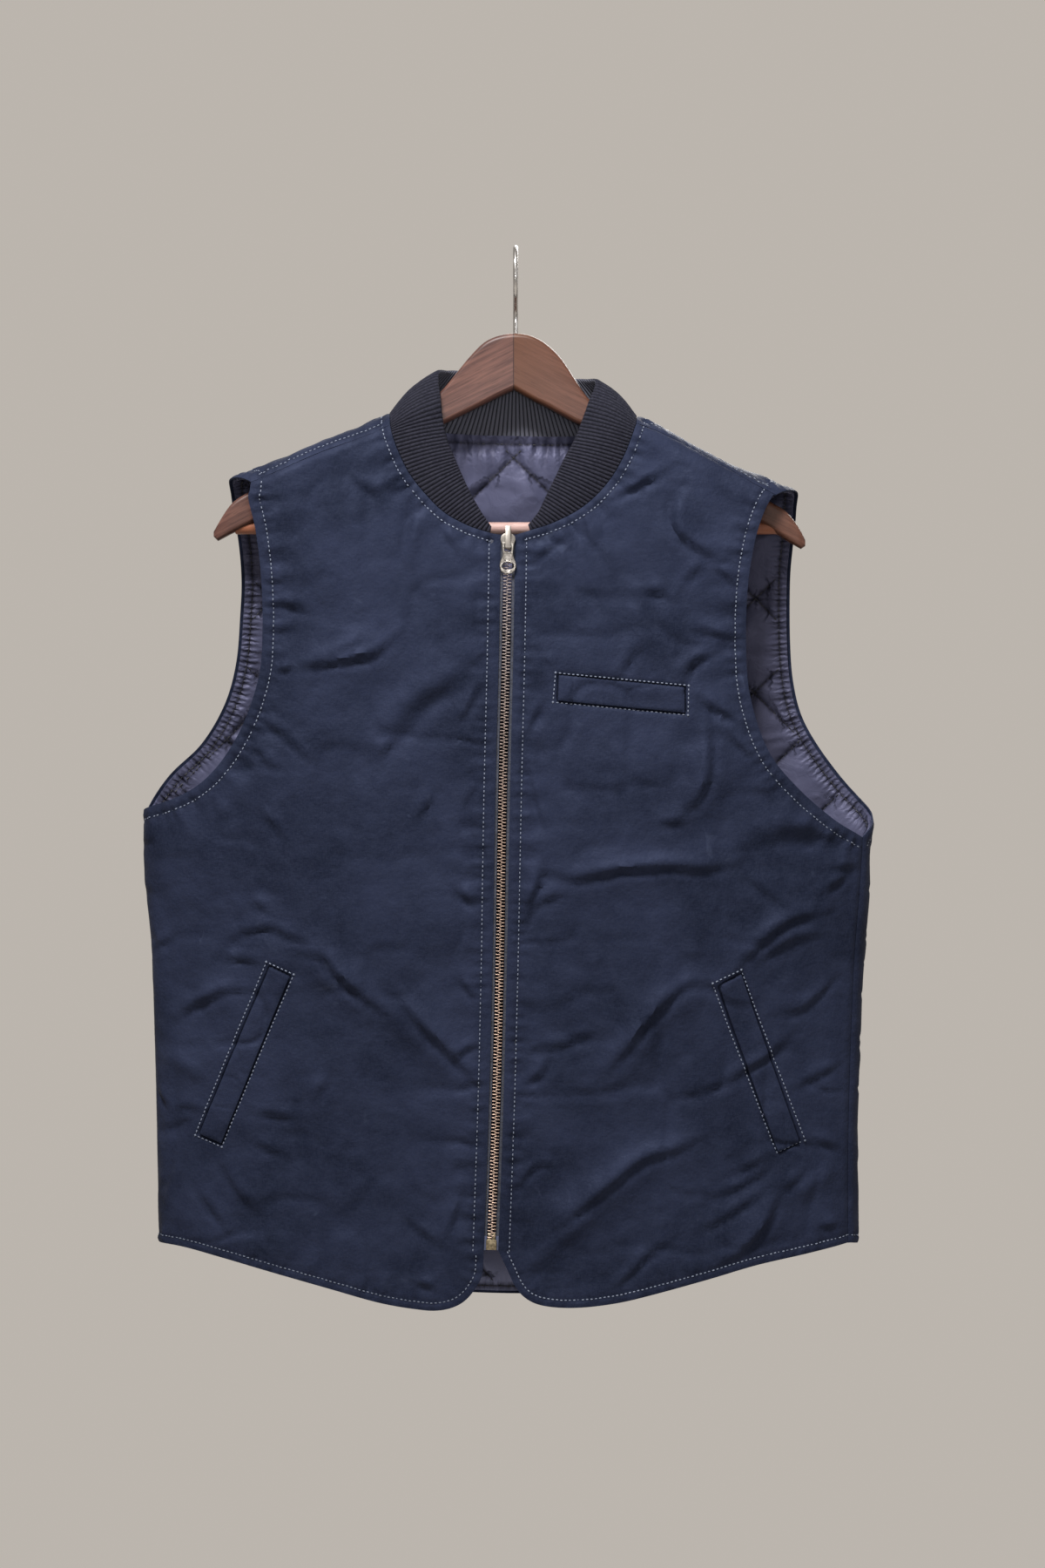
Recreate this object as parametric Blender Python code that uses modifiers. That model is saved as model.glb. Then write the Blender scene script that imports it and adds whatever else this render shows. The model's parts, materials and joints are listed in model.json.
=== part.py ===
"""A lined, waxed cotton zip vest with a ribbed collar, hanging on a wooden hanger.

X runs across the vest, Y runs from its front to its back, Z is up.
Left and right are the wearer's: left is towards +X.
The origin is the inside top of the hanger's hook, where it sits on a rail.
Every table is in millimetres; the meshes are in metres.
"""

import math

import bmesh
import bpy
import numpy as np
from mathutils import Matrix, Vector, geometry

for old in list(bpy.data.objects):
    bpy.data.objects.remove(old, do_unlink=True)

MM = 0.001
FRONT, SEAM, BACK = -1, 0, 1

# Cloth, in millimetres.
SHELL = 1.2                    # waxed cotton, turned at its edges
GAP = 0.3                      # between any two pieces
HALF_GAP = GAP / 2 + 0.05      # from a seam to the panel on each side of it
PULLED_IN = 0.05               # each panel's outline, because its edge is cut in short straights
LINING_THIN = 1.2              # the lining along its seams and quilting lines
LINING_THICK = 4.6             # the padded middle of a quilted diamond
LINING_DEPTH = SHELL + GAP     # from the shell's outside to the lining
DIAMOND = 50.8                 # side of a quilted diamond
QUILT_ACROSS, QUILT_UP = 3.3, -443.4   # a crossing of the quilting lines
COLLAR = 3.6                   # doubled rib knit
COLLAR_GAP = 0.45              # the collar to the panels, whose edges are cut in short straights
RIB_PITCH = 2.8
RIB_GROOVE = 0.72              # a groove's share of the collar's thickness
BAND_BULGE = 4.0               # how far the collar's band rounds outward
WELT = 1.2
SHOULDER_ROUND = 20.0          # height over which the cloth rounds over a shoulder
SECTION_POWER = 2.6            # 2 is an ellipse; more squares the sides of a level section
ARM_SWEEP = 14.0               # how far forward the hanger carries the shoulder tips
ARM_REACH = 220.0

# The nets of the panels: how far apart their points are along each edge, and least inside.
NECK_STEP, NAPE_STEP = 8.0, 5.5
ARM_STEP, FRONT_HEM_STEP, BACK_HEM_STEP = 19.0, 17.0, 24.0
FOLD_STEP, WELT_STEP = 28.0, 24.0
SEAM_STEPS = 13
PLACKET_STEPS = 23
SIDE_COLUMNS = (22.0, 13.0, 6.0, 0.0)
QUILT_FROM_SIDE = 34.0
LINING_EDGE_STEPS = 26
PAD_FADE = 16.0                # width of the strip in which the padding thins to its edge
CLEAR = 8.5

# Zip, in millimetres.
CHAIN_HALF = 3.05
CHAIN_DEPTHS = (0.2, 2.8)
TAPE_IN, TAPE_OUT = 3.4, 13.0
TAPE = 0.8
PLACKET_EDGE = 5.4             # from the zip's middle to each front's folded edge
LINING_EDGE = 13.4
ZIP_TOP, ZIP_FOOT = -218.0, -755.5
CHAIN_TOP, CHAIN_FOOT = -229.6, -746.4

# Level sections of the vest: its sides, and how far it stands before and behind the hanger.
RINGS = [
    # height, right side, left side, front, back
    (-90, -286, 276, 17, 19),
    (-180, -286, 276, 26, 23),
    (-250, -285, 276, 34, 27),
    (-330, -284, 275, 40, 31),
    (-427, -283, 272.5, 45, 35),
    (-477, -281.5, 270, 45, 36),
    (-533, -276.5, 265.5, 44, 36),
    (-600, -274.5, 262.5, 42, 35),
    (-680, -272.5, 260.5, 40, 33),
    (-757, -271.5, 260.5, 38, 31),
    (-830, -271, 260.5, 37, 30),
]

# The top line of the shoulders, as it would run on under the collar and past each tip.
RIDGE = [
    # across, height
    (-250, -189), (-215, -174), (-191, -164.5), (-148, -145.6), (-107, -129.5), (-90, -121.5),
    (-50, -108), (0, -102), (50, -111), (90, -125.5), (103, -131), (145, -153), (187, -173),
    (213, -184), (250, -198),
]

# The shoulder seams lie a little in front of that line.
SHOULDER_SEAM = [
    # across, drop below the ridge
    (-200, 11), (-154, 10.5), (-97, 11), (92, 7), (128, 5), (151, 6), (181, 10), (202, 12),
]

ZIP_LINE = [
    # height, across
    (-200, -5.3), (-310, -7.1), (-402, -9.3), (-550, -12.0), (-642, -14.3), (-756, -18.3), (-830, -21.0),
]

# The collar, from the zip round the back of the neck to the zip again.
COLLAR_ROWS = [
    # part of the panels, seam across, seam height, edge across, edge forward or back, edge height
    (FRONT, -19, -217, -18, -29.5, -212),
    (FRONT, -35.5, -211.5, -24.5, -28.5, -202.5),
    (FRONT, -53, -202, -33.5, -27, -187),
    (FRONT, -67, -188.5, -40.5, -25, -172),
    (FRONT, -80, -172, -45.5, -23, -160),
    (FRONT, -88, -156, -51, -20.5, -146.5),
    (FRONT, -93.2, -142, -54.3, -17.5, -132),
    (SEAM, -94.8, None, -56.6, -15.5, -114),
    (BACK, -95.5, -124.2, -59.5, -1, -92),
    (BACK, -89, -131, -52, 11, -89.5),
    (BACK, -70, -136, -41, 15, -90),
    (BACK, -38, -139, -22, 17.5, -92),
    (BACK, 0, -140, 0, 18.5, -94),
    (BACK, 38, -140.5, 23, 17.5, -95.5),
    (BACK, 69, -138.5, 43, 15, -96),
    (BACK, 87, -134, 54, 11, -96),
    (BACK, 92.3, -126.9, 62, -1, -98.5),
    (SEAM, 91.5, None, 55.5, -15, -116),
    (FRONT, 88, -143, 49.5, -17.5, -132),
    (FRONT, 82.5, -157, 43.5, -20.5, -147),
    (FRONT, 74, -172.5, 36.5, -23, -160),
    (FRONT, 62.5, -187, 31, -25, -172),
    (FRONT, 47.5, -199.5, 24.5, -27, -185.5),
    (FRONT, 28, -209.5, 17, -28.5, -201),
    (FRONT, 11, -215, 9.5, -29.5, -210.5),
]

# Armholes, from the shoulder seam down towards the side seam.
ARMHOLE_FRONT_RIGHT = [
    # across, height
    (-199.5, -185), (-200.5, -192), (-195, -216), (-191, -250), (-190, -290), (-193, -326),
    (-207, -366), (-229, -398), (-256, -416),
]
ARMHOLE_FRONT_LEFT = [
    (194, -188), (187, -201), (180, -223), (174.5, -258), (173.2, -302), (176.5, -341),
    (190, -381), (212.5, -409), (240, -432.5),
]
ARMHOLE_BACK_RIGHT = [
    (-216.5, -188), (-211.5, -222), (-209.7, -250), (-211, -276), (-214.5, -313), (-223.5, -345),
    (-241, -375), (-265, -399),
]
ARMHOLE_BACK_LEFT = [
    (214, -198), (212, -222), (210, -250), (210.5, -296), (213.5, -330), (221.5, -358),
    (240, -388), (263, -416),
]
SHOULDER_TIP_RIGHT = (-216, -174.4)
SHOULDER_TIP_LEFT = (213, -184)
UNDERARM_RIGHT, UNDERARM_LEFT = -428.0, -446.0

# The hem, from the zip to each side, and across the back.
HEM_RIGHT = [
    # across, height
    (-24.7, -772), (-28.5, -781.5), (-36, -791.5), (-45, -797.5), (-57, -800.5), (-72, -800),
    (-102, -795), (-142, -784), (-182, -773), (-222, -762), (-254, -754.5),
]
HEM_LEFT = [
    (-6, -770), (-1, -781), (6, -790), (17, -796), (34, -798.5), (55, -798), (80, -794.5),
    (107, -788), (144, -778), (181, -767.5), (217, -760),
]
HEM_BACK = [
    (-235, -757), (-190, -767), (-140, -780), (-85, -792), (-20, -797), (50, -796), (110, -787),
    (165, -774), (215, -761),
]
HEM_SIDE = -752.5

# The side seams: the right one is just behind the side, the left one shows in front.
SEAM_PAST_RIGHT = 6.0
SEAM_BEFORE_LEFT = 0.967       # share of the half width

# The largest soft folds of the fronts and the back.
FOLDS = [
    # side, then start, middle and end as across and height, then rise and half width
    (FRONT, (-166, -318), (-125, -313), (-93, -297), 4.0, 15),
    (FRONT, (-164, -532), (-134, -548), (-97, -578), 4.5, 15),
    (FRONT, (-88, -566), (-70, -587), (-40, -620), 3.5, 15),
    (FRONT, (-240, -573), (-226, -564), (-208, -560), 3.0, 14),
    (FRONT, (126, -190), (122, -217), (150, -236), 3.0, 14),
    (FRONT, (144, -370), (144, -402), (128, -426), 3.5, 14),
    (FRONT, (50, -471), (100, -469), (160, -465), 4.0, 15),
    (FRONT, (168, -540), (200, -511), (228, -502), 3.5, 15),
    (FRONT, (147, -557), (113, -569), (73, -617), 4.5, 15),
    (FRONT, (40, -730), (95, -688), (133, -673), 4.5, 16),
    (FRONT, (150, -755), (184, -735), (194, -705), 3.5, 15),
    (BACK, (-160, -300), (-110, -330), (-70, -380), 4.0, 17),
    (BACK, (150, -310), (110, -345), (80, -400), 4.0, 17),
    (BACK, (-180, -560), (-120, -590), (-60, -600), 4.0, 17),
    (BACK, (60, -540), (120, -560), (180, -590), 4.0, 17),
    (BACK, (-120, -720), (-60, -690), (20, -700), 4.0, 18),
]

# Pocket welts on the fronts: four corners, as across and height.
CHEST_WELT = [(32.7, -324.3), (126.6, -333.7), (126.6, -352.3), (32, -343.2)]
RIGHT_POCKET_WELT = [(-184, -542.9), (-169.3, -550.1), (-221.2, -675.8), (-237.5, -668.9)]
LEFT_POCKET_WELT = [(152.8, -557.3), (169.2, -548.8), (213.6, -675.1), (197.2, -682)]

# The hanger's wood, station by station from its right tip to its left one. Its tops carry the
# padded lining of both shoulders, just clear of it.
WOOD = [
    # across, bottom, top, half thickness
    (-228, -219, -215, 3.0),
    (-225, -222, -209.5, 5.0),
    (-216, -217, -195.5, 6.5),
    (-200, -209, -183.5, 7.0),
    (-185, -201, -170.6, 7.0),
    (-150, -182.5, -155.7, 7.0),
    (-118, -165.5, -140.6, 7.0),
    (-96, -154, -129.7, 7.0),
    (-75, -143, -120, 7.0),
    (-57, -133.5, -108, 7.0),
    (-46, -128, -95, 7.0),
    (-35, -122.5, -81.5, 7.0),
    (-24, -117, -70.5, 7.0),
    (-12, -111, -65, 7.0),
    (-1, -106, -63.5, 7.0),
    (12, -113.5, -65.3, 7.0),
    (24, -119.5, -72, 7.0),
    (35, -125.5, -83, 7.0),
    (45, -131, -98, 7.0),
    (54, -135, -111.5, 7.0),
    (75, -147, -123.5, 7.0),
    (92, -156.5, -131.3, 7.0),
    (118, -171, -146.3, 7.0),
    (145, -186, -162.1, 7.0),
    (178, -204.7, -176.8, 7.0),
    (190, -211.5, -190, 7.0),
    (206, -222, -201, 6.5),
    (216, -228, -215, 5.0),
    (219, -226, -221, 3.0),
]
WOOD_CORNER = 4.0
BAR_RIGHT, BAR_LEFT, BAR_BACK, BAR_HEIGHT = -212.0, 200.0, -12.4, -212.3
BAR_RADIUS, SOCKET_RADIUS = 4.6, 4.9
WIRE_RADIUS = 1.8
HOOK_INSIDE = 20.0
HOOK_RADIUS = HOOK_INSIDE + WIRE_RADIUS
HOOK_STEM = [(0, -63.1), (0, -58), (0, -53), (-2.2, -46.8)]   # back, height
HOOK_ARC = (238.0, -28.0, 14.0)        # start, end and step, in degrees
HOOK_STEP = 5.5


# ---------------------------------------------------------------- the form of the cloth


def column(rows, n):
    return np.array([row[n] for row in rows], float)


def rounded(rows, key, value, at):
    """Read one column of a table at the given keys, with a smooth curve through its rows."""
    keys, values = column(rows, key), column(rows, value)
    if keys[0] > keys[-1]:
        keys, values = keys[::-1], values[::-1]
    slopes = np.gradient(values, keys)
    at = np.clip(at, keys[0], keys[-1])
    n = np.clip(np.searchsorted(keys, at) - 1, 0, len(keys) - 2)
    width = keys[n + 1] - keys[n]
    t = (at - keys[n]) / width
    return (
        (2 * t**3 - 3 * t**2 + 1) * values[n]
        + (t**3 - 2 * t**2 + t) * width * slopes[n]
        + (3 * t**2 - 2 * t**3) * values[n + 1]
        + (t**3 - t**2) * width * slopes[n + 1]
    )


def level_section(half_width=272.0, depth=38.0, steps=4000):
    """Shares of the half width against the distance round a level section from its middle."""
    share = np.sin(np.linspace(0, math.pi / 2, steps))
    across = half_width * share
    out = depth * (1 - share**SECTION_POWER) ** (1 / SECTION_POWER)
    round_ = np.concatenate([[0], np.cumsum(np.hypot(np.diff(across), np.diff(out)))])
    return round_, share


ROUND, SHARE = level_section()
SIDE = ROUND[-1]               # distance from the middle of a panel to the side of the vest
QUARTER = math.pi / 2 * math.hypot(SHOULDER_ROUND, 20) / math.sqrt(2)


def sweep(x, z):
    """How far forward the shoulders are carried by the hanger's arms."""
    fade = np.clip((z + 330) / 150, 0, 1)
    return -ARM_SWEEP * (x / ARM_REACH) ** 2 * fade * fade * (3 - 2 * fade)


def level_span(height):
    """The middle and half width of the vest; both stay the same over the shoulders."""
    height = np.minimum(height, RINGS[1][0])
    right, left = rounded(RINGS, 0, 1, height), rounded(RINGS, 0, 2, height)
    return (left + right) / 2, (left - right) / 2


def surface(side, a, v):
    """Points of the vest's outside. a runs round the level section from the middle of a
    panel, v runs up the cloth and over the shoulder."""
    a, v = np.asarray(a, float), np.asarray(v, float)
    past = np.abs(a) > SIDE
    share = np.sign(a) * np.interp(np.where(past, 2 * SIDE - np.abs(a), np.abs(a)), ROUND, SHARE)
    middle, half = level_span(v)
    x = middle + half * share
    start = rounded(RIDGE, 0, 1, x) - SHOULDER_ROUND
    turn = math.pi / 2 * np.clip((v - start) / QUARTER, 0, 2)
    z = np.where(v < start, v, start + SHOULDER_ROUND * np.sin(turn))
    facing = side * np.where(past, -1, 1) * np.where(turn > math.pi / 2, -1, 1)
    depth = np.where(facing == FRONT, rounded(RINGS, 0, 3, z), rounded(RINGS, 0, 4, z))
    bow = (1 - np.abs(share) ** SECTION_POWER) ** (1 / SECTION_POWER)
    y = facing * depth * bow * np.abs(np.cos(turn)) + sweep(x, z)
    return np.stack([x, y, z], -1)


def spot(side, x, z, over=False):
    """The place (a, v) on a panel that lies at x and z; over is past the shoulder's ridge."""
    x, z = np.asarray(x, float), np.asarray(z, float)
    middle, half = level_span(z)
    share = (x - middle) / half
    a = np.sign(share) * np.interp(np.abs(share), SHARE, ROUND)
    start = rounded(RIDGE, 0, 1, x) - SHOULDER_ROUND
    lift = np.clip((z - start) / SHOULDER_ROUND, 0, 1)
    turn = np.arcsin(lift)
    if over:
        turn = math.pi - turn
    v = np.where(z < start, z, start + QUARTER * turn / (math.pi / 2))
    return np.stack([a, v], -1)


def outward(side, a, v, step=0.4):
    """The direction out of the cloth."""
    along = surface(side, a + step, v) - surface(side, a - step, v)
    up = surface(side, a, v + step) - surface(side, a, v - step)
    normal = np.cross(along, up) * -side
    return normal / np.linalg.norm(normal, axis=-1, keepdims=True)


def distance_to_line(points, line):
    """Each point's distance to a bent line, and how far along it the nearest place is, 0 to 1."""
    lengths = np.linalg.norm(np.diff(line, axis=0), axis=1)
    total = lengths.sum()
    best = np.full(len(points), 1e9)
    along = np.zeros(len(points))
    walked = 0.0
    for start, end, length in zip(line[:-1], line[1:], lengths):
        t = np.clip((points - start) @ (end - start) / length**2, 0, 1)
        gap = np.linalg.norm(points - start - t[:, None] * (end - start), axis=1)
        nearer = gap < best
        best[nearer] = gap[nearer]
        along[nearer] = (walked + t[nearer] * length) / total
        walked += length
    return best, along


def fold_lines(side):
    for fold_side, start, middle, end, rise, width in FOLDS:
        if fold_side == side:
            corners = np.array([start, middle, end], float)
            yield spot(side, corners[:, 0], corners[:, 1]), rise, width


def folds(side, a, v):
    """How far the large folds lift the cloth."""
    points = np.stack([a, v], -1)
    lift = np.zeros(len(points))
    for line, rise, width in fold_lines(side):
        gap, along = distance_to_line(points, line)
        lift += rise * np.exp(-((gap / width) ** 2)) * np.sin(math.pi * np.clip(along, 0.06, 0.94)) ** 0.6
    return lift


def cloth(side, places, depth=0.0):
    """Points of a panel in metres, the given depth under the vest's outside."""
    a, v = places[:, 0], places[:, 1]
    lift = folds(side, a, v) - depth
    return (surface(side, a, v) + outward(side, a, v) * lift[:, None]) * MM


# ---------------------------------------------------------------- outlines and nets


def smooth(points, steps=12):
    """A smooth curve through the given points, with so many steps from each to the next."""
    points = np.asarray(points, float)
    ends = np.concatenate([[2 * points[0] - points[1]], points, [2 * points[-1] - points[-2]]])
    t = np.linspace(0, 1, steps, endpoint=False)[:, None]
    fine = []
    for p0, p1, p2, p3 in zip(ends, ends[1:], ends[2:], ends[3:]):
        fine.append(
            0.5 * (2 * p1 + (p2 - p0) * t + (2 * p0 - 5 * p1 + 4 * p2 - p3) * t**2
                   + (3 * p1 - p0 - 3 * p2 + p3) * t**3)
        )
    return np.concatenate(fine + [points[-1:]])


def stepped(line, count):
    """A line with its points at even steps."""
    walked = np.concatenate([[0], np.cumsum(np.linalg.norm(np.diff(line, axis=0), axis=1))])
    at = np.linspace(0, walked[-1], count)
    return np.stack([np.interp(at, walked, line[:, n]) for n in range(line.shape[1])], -1)


def curve(points, spacing):
    """Even steps along a smooth curve through the given points."""
    fine = smooth(points)
    length = np.linalg.norm(np.diff(fine, axis=0), axis=1).sum()
    return stepped(fine, max(2, round(length / spacing) + 1))


def joined(*lines):
    """One closed outline from lines that follow each other; shared ends are kept once."""
    outline = []
    for line in lines:
        for point in line:
            if not outline or np.linalg.norm(point - outline[-1]) > 1.0:
                outline.append(point)
    while np.linalg.norm(outline[0] - outline[-1]) < 1.0:
        outline.pop()
    return np.array(outline)


def inside(outline, points):
    """Which points lie inside a closed outline."""
    x, y = points[:, 0], points[:, 1]
    found = np.zeros(len(points), bool)
    for (x0, y0), (x1, y1) in zip(outline, np.roll(outline, -1, axis=0)):
        crosses = (y0 > y) != (y1 > y)
        with np.errstate(divide="ignore", invalid="ignore"):
            at = x0 + (y - y0) / (y1 - y0) * (x1 - x0)
        found ^= crosses & (x < at)
    return found


def inset(outline, by):
    """A closed outline moved in by a small distance, whichever way it runs."""
    way = np.roll(outline, -1, axis=0) - np.roll(outline, 1, axis=0)
    way /= np.linalg.norm(way, axis=1, keepdims=True)
    ahead = np.roll(outline, -1, axis=0)
    area = (outline[:, 0] * ahead[:, 1] - ahead[:, 0] * outline[:, 1]).sum()
    left = np.stack([-way[:, 1], way[:, 0]], -1)
    return outline + left * by * np.sign(area)


def quilt_lattice():
    """Points on the quilting lines and in the diamonds' middles, over a whole panel."""
    half = DIAMOND / 2 / math.sqrt(2)
    rows = []
    for i in range(-60, 60):
        for j in range(-60, 60):
            a, v = (i - j) * half + QUILT_ACROSS, (i + j) * half + QUILT_UP
            if abs(a) < SIDE - QUILT_FROM_SIDE and RINGS[-1][0] < v < RINGS[0][0]:
                rows.append((a, v))
    return np.array(rows)


def quilt_height(places):
    """0 on a quilting line, 1 in the middle of a diamond."""
    turn = math.pi / DIAMOND / math.sqrt(2)
    a, v = places[:, 0] - QUILT_ACROSS, places[:, 1] - QUILT_UP
    return np.abs(np.sin((v + a) * turn) * np.sin((v - a) * turn))


def side_columns():
    """Extra points where the cloth turns tightly at each side of the vest."""
    rows = []
    for sign, top in ((-1, UNDERARM_RIGHT), (1, UNDERARM_LEFT)):
        for v in np.linspace(top, HEM_SIDE, SEAM_STEPS):
            rows += [(sign * (SIDE - before), v) for before in SIDE_COLUMNS]
    return np.array(rows)


def shoulder_rows(side):
    """Extra points where the cloth rounds over the shoulders."""
    rows = []
    for drop in (0.0, 5.0, SHOULDER_ROUND):
        x = np.linspace(SHOULDER_TIP_RIGHT[0] + 6, SHOULDER_TIP_LEFT[0] - 5, 19)
        rows.append(spot(side, x, rounded(RIDGE, 0, 1, x) - drop))
    return np.concatenate(rows)


def net(side, outline, lines=(), loops=()):
    """A panel's outline filled with triangles, which follow the lines and loops drawn on it."""
    crests = [(curve(line, FOLD_STEP), CLEAR) for line, *_ in fold_lines(side)]
    groups = [(side_columns(), CLEAR / 2), (shoulder_rows(side), CLEAR), *crests, (quilt_lattice(), CLEAR)]
    fixed = np.concatenate([outline, *lines, *loops])
    kept = []
    for group, clear in groups:
        for point in group[inside(outline, group)]:
            if np.linalg.norm(np.concatenate([fixed, *kept]) - point, axis=1).min() > clear:
                kept.append(point[None])
    points = [*outline]
    edges = []
    for line in lines:
        edges += [(len(points) + n, len(points) + n + 1) for n in range(len(line) - 1)]
        points += [*line]
    for loop in loops:
        edges += [(len(points) + n, len(points) + (n + 1) % len(loop)) for n in range(len(loop))]
        points += [*loop]
    points += [point[0] for point in kept]
    face = list(range(len(outline)))
    if (outline[:, 0] * (np.roll(outline[:, 1], -1) - np.roll(outline[:, 1], 1))).sum() < 0:
        face.reverse()
    flat = [Vector((float(p[0]), float(p[1]))) for p in points]
    found, _, triangles, *_ = geometry.delaunay_2d_cdt(flat, edges, [face], 1, 1e-4)
    triangles = np.array([tuple(t) for t in triangles])
    return keep(np.array([tuple(p) for p in found]), triangles, np.ones(len(triangles), bool))


def keep(points, triangles, chosen):
    """The chosen triangles, with only the points that they use."""
    used = np.unique(triangles[chosen])
    renumber = np.full(len(points), -1)
    renumber[used] = np.arange(len(used))
    return points[used], renumber[triangles[chosen]]


# ---------------------------------------------------------------- objects


def collection(name):
    made = bpy.data.collections.new(name)
    bpy.context.scene.collection.children.link(made)
    return made


VEST = collection("waxed_cotton_vest")


def material(name, colour, roughness, metallic=0.0):
    made = bpy.data.materials.new(name)
    made.use_nodes = True
    shader = made.node_tree.nodes["Principled BSDF"]
    shader.inputs["Base Color"].default_value = (*colour, 1)
    shader.inputs["Roughness"].default_value = roughness
    shader.inputs["Metallic"].default_value = metallic
    return made


WAXED = material("waxed_cotton", (0.026, 0.036, 0.072), 0.55)
NYLON = material("lining_nylon", (0.060, 0.066, 0.110), 0.35)
RIB = material("rib_knit", (0.014, 0.015, 0.020), 0.85)
TAPE_CLOTH = material("zip_tape", (0.016, 0.020, 0.034), 0.8)
BRASS = material("zip_brass", (0.55, 0.40, 0.20), 0.35, 1.0)
NICKEL = material("nickel", (0.72, 0.70, 0.66), 0.25, 1.0)
OLD_BRASS = material("old_brass", (0.22, 0.17, 0.11), 0.4, 1.0)
WALNUT = material("walnut", (0.20, 0.075, 0.038), 0.45)
STEEL = material("hook_steel", (0.55, 0.54, 0.52), 0.3, 1.0)


def add(name, mesh, look, smooth=True):
    made = bpy.data.objects.new(name, mesh)
    VEST.objects.link(made)
    mesh.materials.append(look)
    if smooth:
        mesh.shade_smooth()
        mesh.set_sharp_from_angle(angle=math.radians(40))
    return made


def wall(name, points, other_side, triangles, look):
    """An open net of cloth thickened into a closed wall: it is extruded to its other side."""
    mesh = bpy.data.meshes.new(name)
    mesh.from_pydata([tuple(p) for p in points], [], [tuple(int(n) for n in t) for t in triangles])
    built = bmesh.new()
    built.from_mesh(mesh)
    number = built.verts.layers.int.new("number")
    for n, corner in enumerate(built.verts):
        corner[number] = n
    drawn = bmesh.ops.extrude_face_region(built, geom=built.faces[:], use_keep_orig=True)["geom"]
    for corner in drawn:
        if isinstance(corner, bmesh.types.BMVert):
            corner.co = Vector(other_side[corner[number]])
    built.verts.layers.int.remove(number)
    bmesh.ops.recalc_face_normals(built, faces=built.faces)
    built.to_mesh(mesh)
    built.free()
    return add(name, mesh, look)


def facing_out(side, triangles, places):
    """Turn the triangles so that their front is the outside of the vest."""
    a, b, c = (places[triangles[:, n]] for n in range(3))
    turn = (b[:, 0] - a[:, 0]) * (c[:, 1] - a[:, 1]) - (b[:, 1] - a[:, 1]) * (c[:, 0] - a[:, 0])
    wrong = np.sign(turn) != -side
    triangles = triangles.copy()
    triangles[wrong] = triangles[wrong][:, ::-1]
    return triangles


def along_normals(points, triangles, rim):
    """For each point of a net, the move that lifts its triangles by one unit. Points on the
    net's rim move along the direction given for them, so that two panels meet squarely."""
    corners = points[triangles]
    ways = np.roll(corners, -1, axis=1) - corners
    ways /= np.linalg.norm(ways, axis=2, keepdims=True)
    angles = np.arccos(np.clip(-(ways * np.roll(ways, 1, axis=1)).sum(axis=2), -1, 1))
    flat = np.cross(ways[:, 0], ways[:, 1])
    flat /= np.linalg.norm(flat, axis=1, keepdims=True)
    normals, total = np.zeros_like(points), np.zeros(len(points))
    for n in range(3):
        np.add.at(normals, triangles[:, n], flat * angles[:, n, None])
        np.add.at(total, triangles[:, n], angles[:, n])
    normals /= np.linalg.norm(normals, axis=1, keepdims=True)
    edges = np.sort(np.concatenate([triangles[:, [0, 1]], triangles[:, [1, 2]], triangles[:, [2, 0]]]), axis=1)
    once, count = np.unique(edges, axis=0, return_counts=True)
    on_rim = np.unique(once[count == 1])
    normals[on_rim] = rim[on_rim]
    lean = np.zeros(len(points))
    for n in range(3):
        held = triangles[:, n]
        np.add.at(lean, held, angles[:, n] * (normals[held] * flat).sum(axis=1))
    return normals * (total / lean)[:, None] * MM


def boundary_distance(outline, places):
    closed = np.concatenate([outline, outline[:1]])
    return distance_to_line(places, closed)[0]


def panel(name, lining_name, side, outline, lines=(), loops=(), lined=None):
    """A shell and the lining under it, from one net, so that they stay parallel."""
    places, triangles = net(side, outline, lines, loops)
    triangles = facing_out(side, triangles, places)
    points = cloth(side, places)
    lift = along_normals(points, triangles, outward(side, places[:, 0], places[:, 1]))
    wall(name, points, points - lift * SHELL, triangles, WAXED)
    middle = places[triangles].mean(axis=1)
    chosen = np.ones(len(triangles), bool) if lined is None else lined(middle)
    edge = np.clip(boundary_distance(outline, places) / PAD_FADE, 0, 1)
    pad = LINING_THIN + (LINING_THICK - LINING_THIN) * quilt_height(places) * edge
    near = points - lift * LINING_DEPTH
    far = near - lift * pad[:, None]
    held, pieces = keep(np.hstack([near, far]), triangles, chosen)
    wall(lining_name, held[:, :3], held[:, 3:], pieces, NYLON)
    return places, points, lift, triangles


# ---------------------------------------------------------------- seams shared by the panels


def seam_shoulder(from_x, to_x, side):
    """The shoulder seam as each panel sees it; the panels stop half a gap short of it."""
    x = np.linspace(from_x, to_x, 7)
    ridge = rounded(RIDGE, 0, 1, x)
    drop = rounded(SHOULDER_SEAM, 0, 1, x)
    line = spot(side, x, ridge - drop, over=side == BACK)
    line[:, 1] -= HALF_GAP
    return line


def seam_side(left, side, top):
    """A side seam, from the underarm down to the hem."""
    v = np.linspace(top, HEM_SIDE, SEAM_STEPS)
    if left:
        a = np.interp(SEAM_BEFORE_LEFT, SHARE, ROUND)
    else:
        a = SIDE + SEAM_PAST_RIGHT
    if side == BACK:
        a = 2 * SIDE - a
    a = (a - HALF_GAP) * (1 if left else -1)
    return np.stack([np.full(len(v), a), v], -1)


def neckline(rows, side):
    """The collar's seam on one panel; its ends are the inner ends of the shoulder seams."""
    line = []
    for part, x, z, *_ in rows:
        if part == SEAM:
            z = float(rounded(RIDGE, 0, 1, x) - rounded(SHOULDER_SEAM, 0, 1, x))
        line.append(spot(side, x, z, over=side == BACK and part == SEAM))
    return np.array(line)


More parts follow.
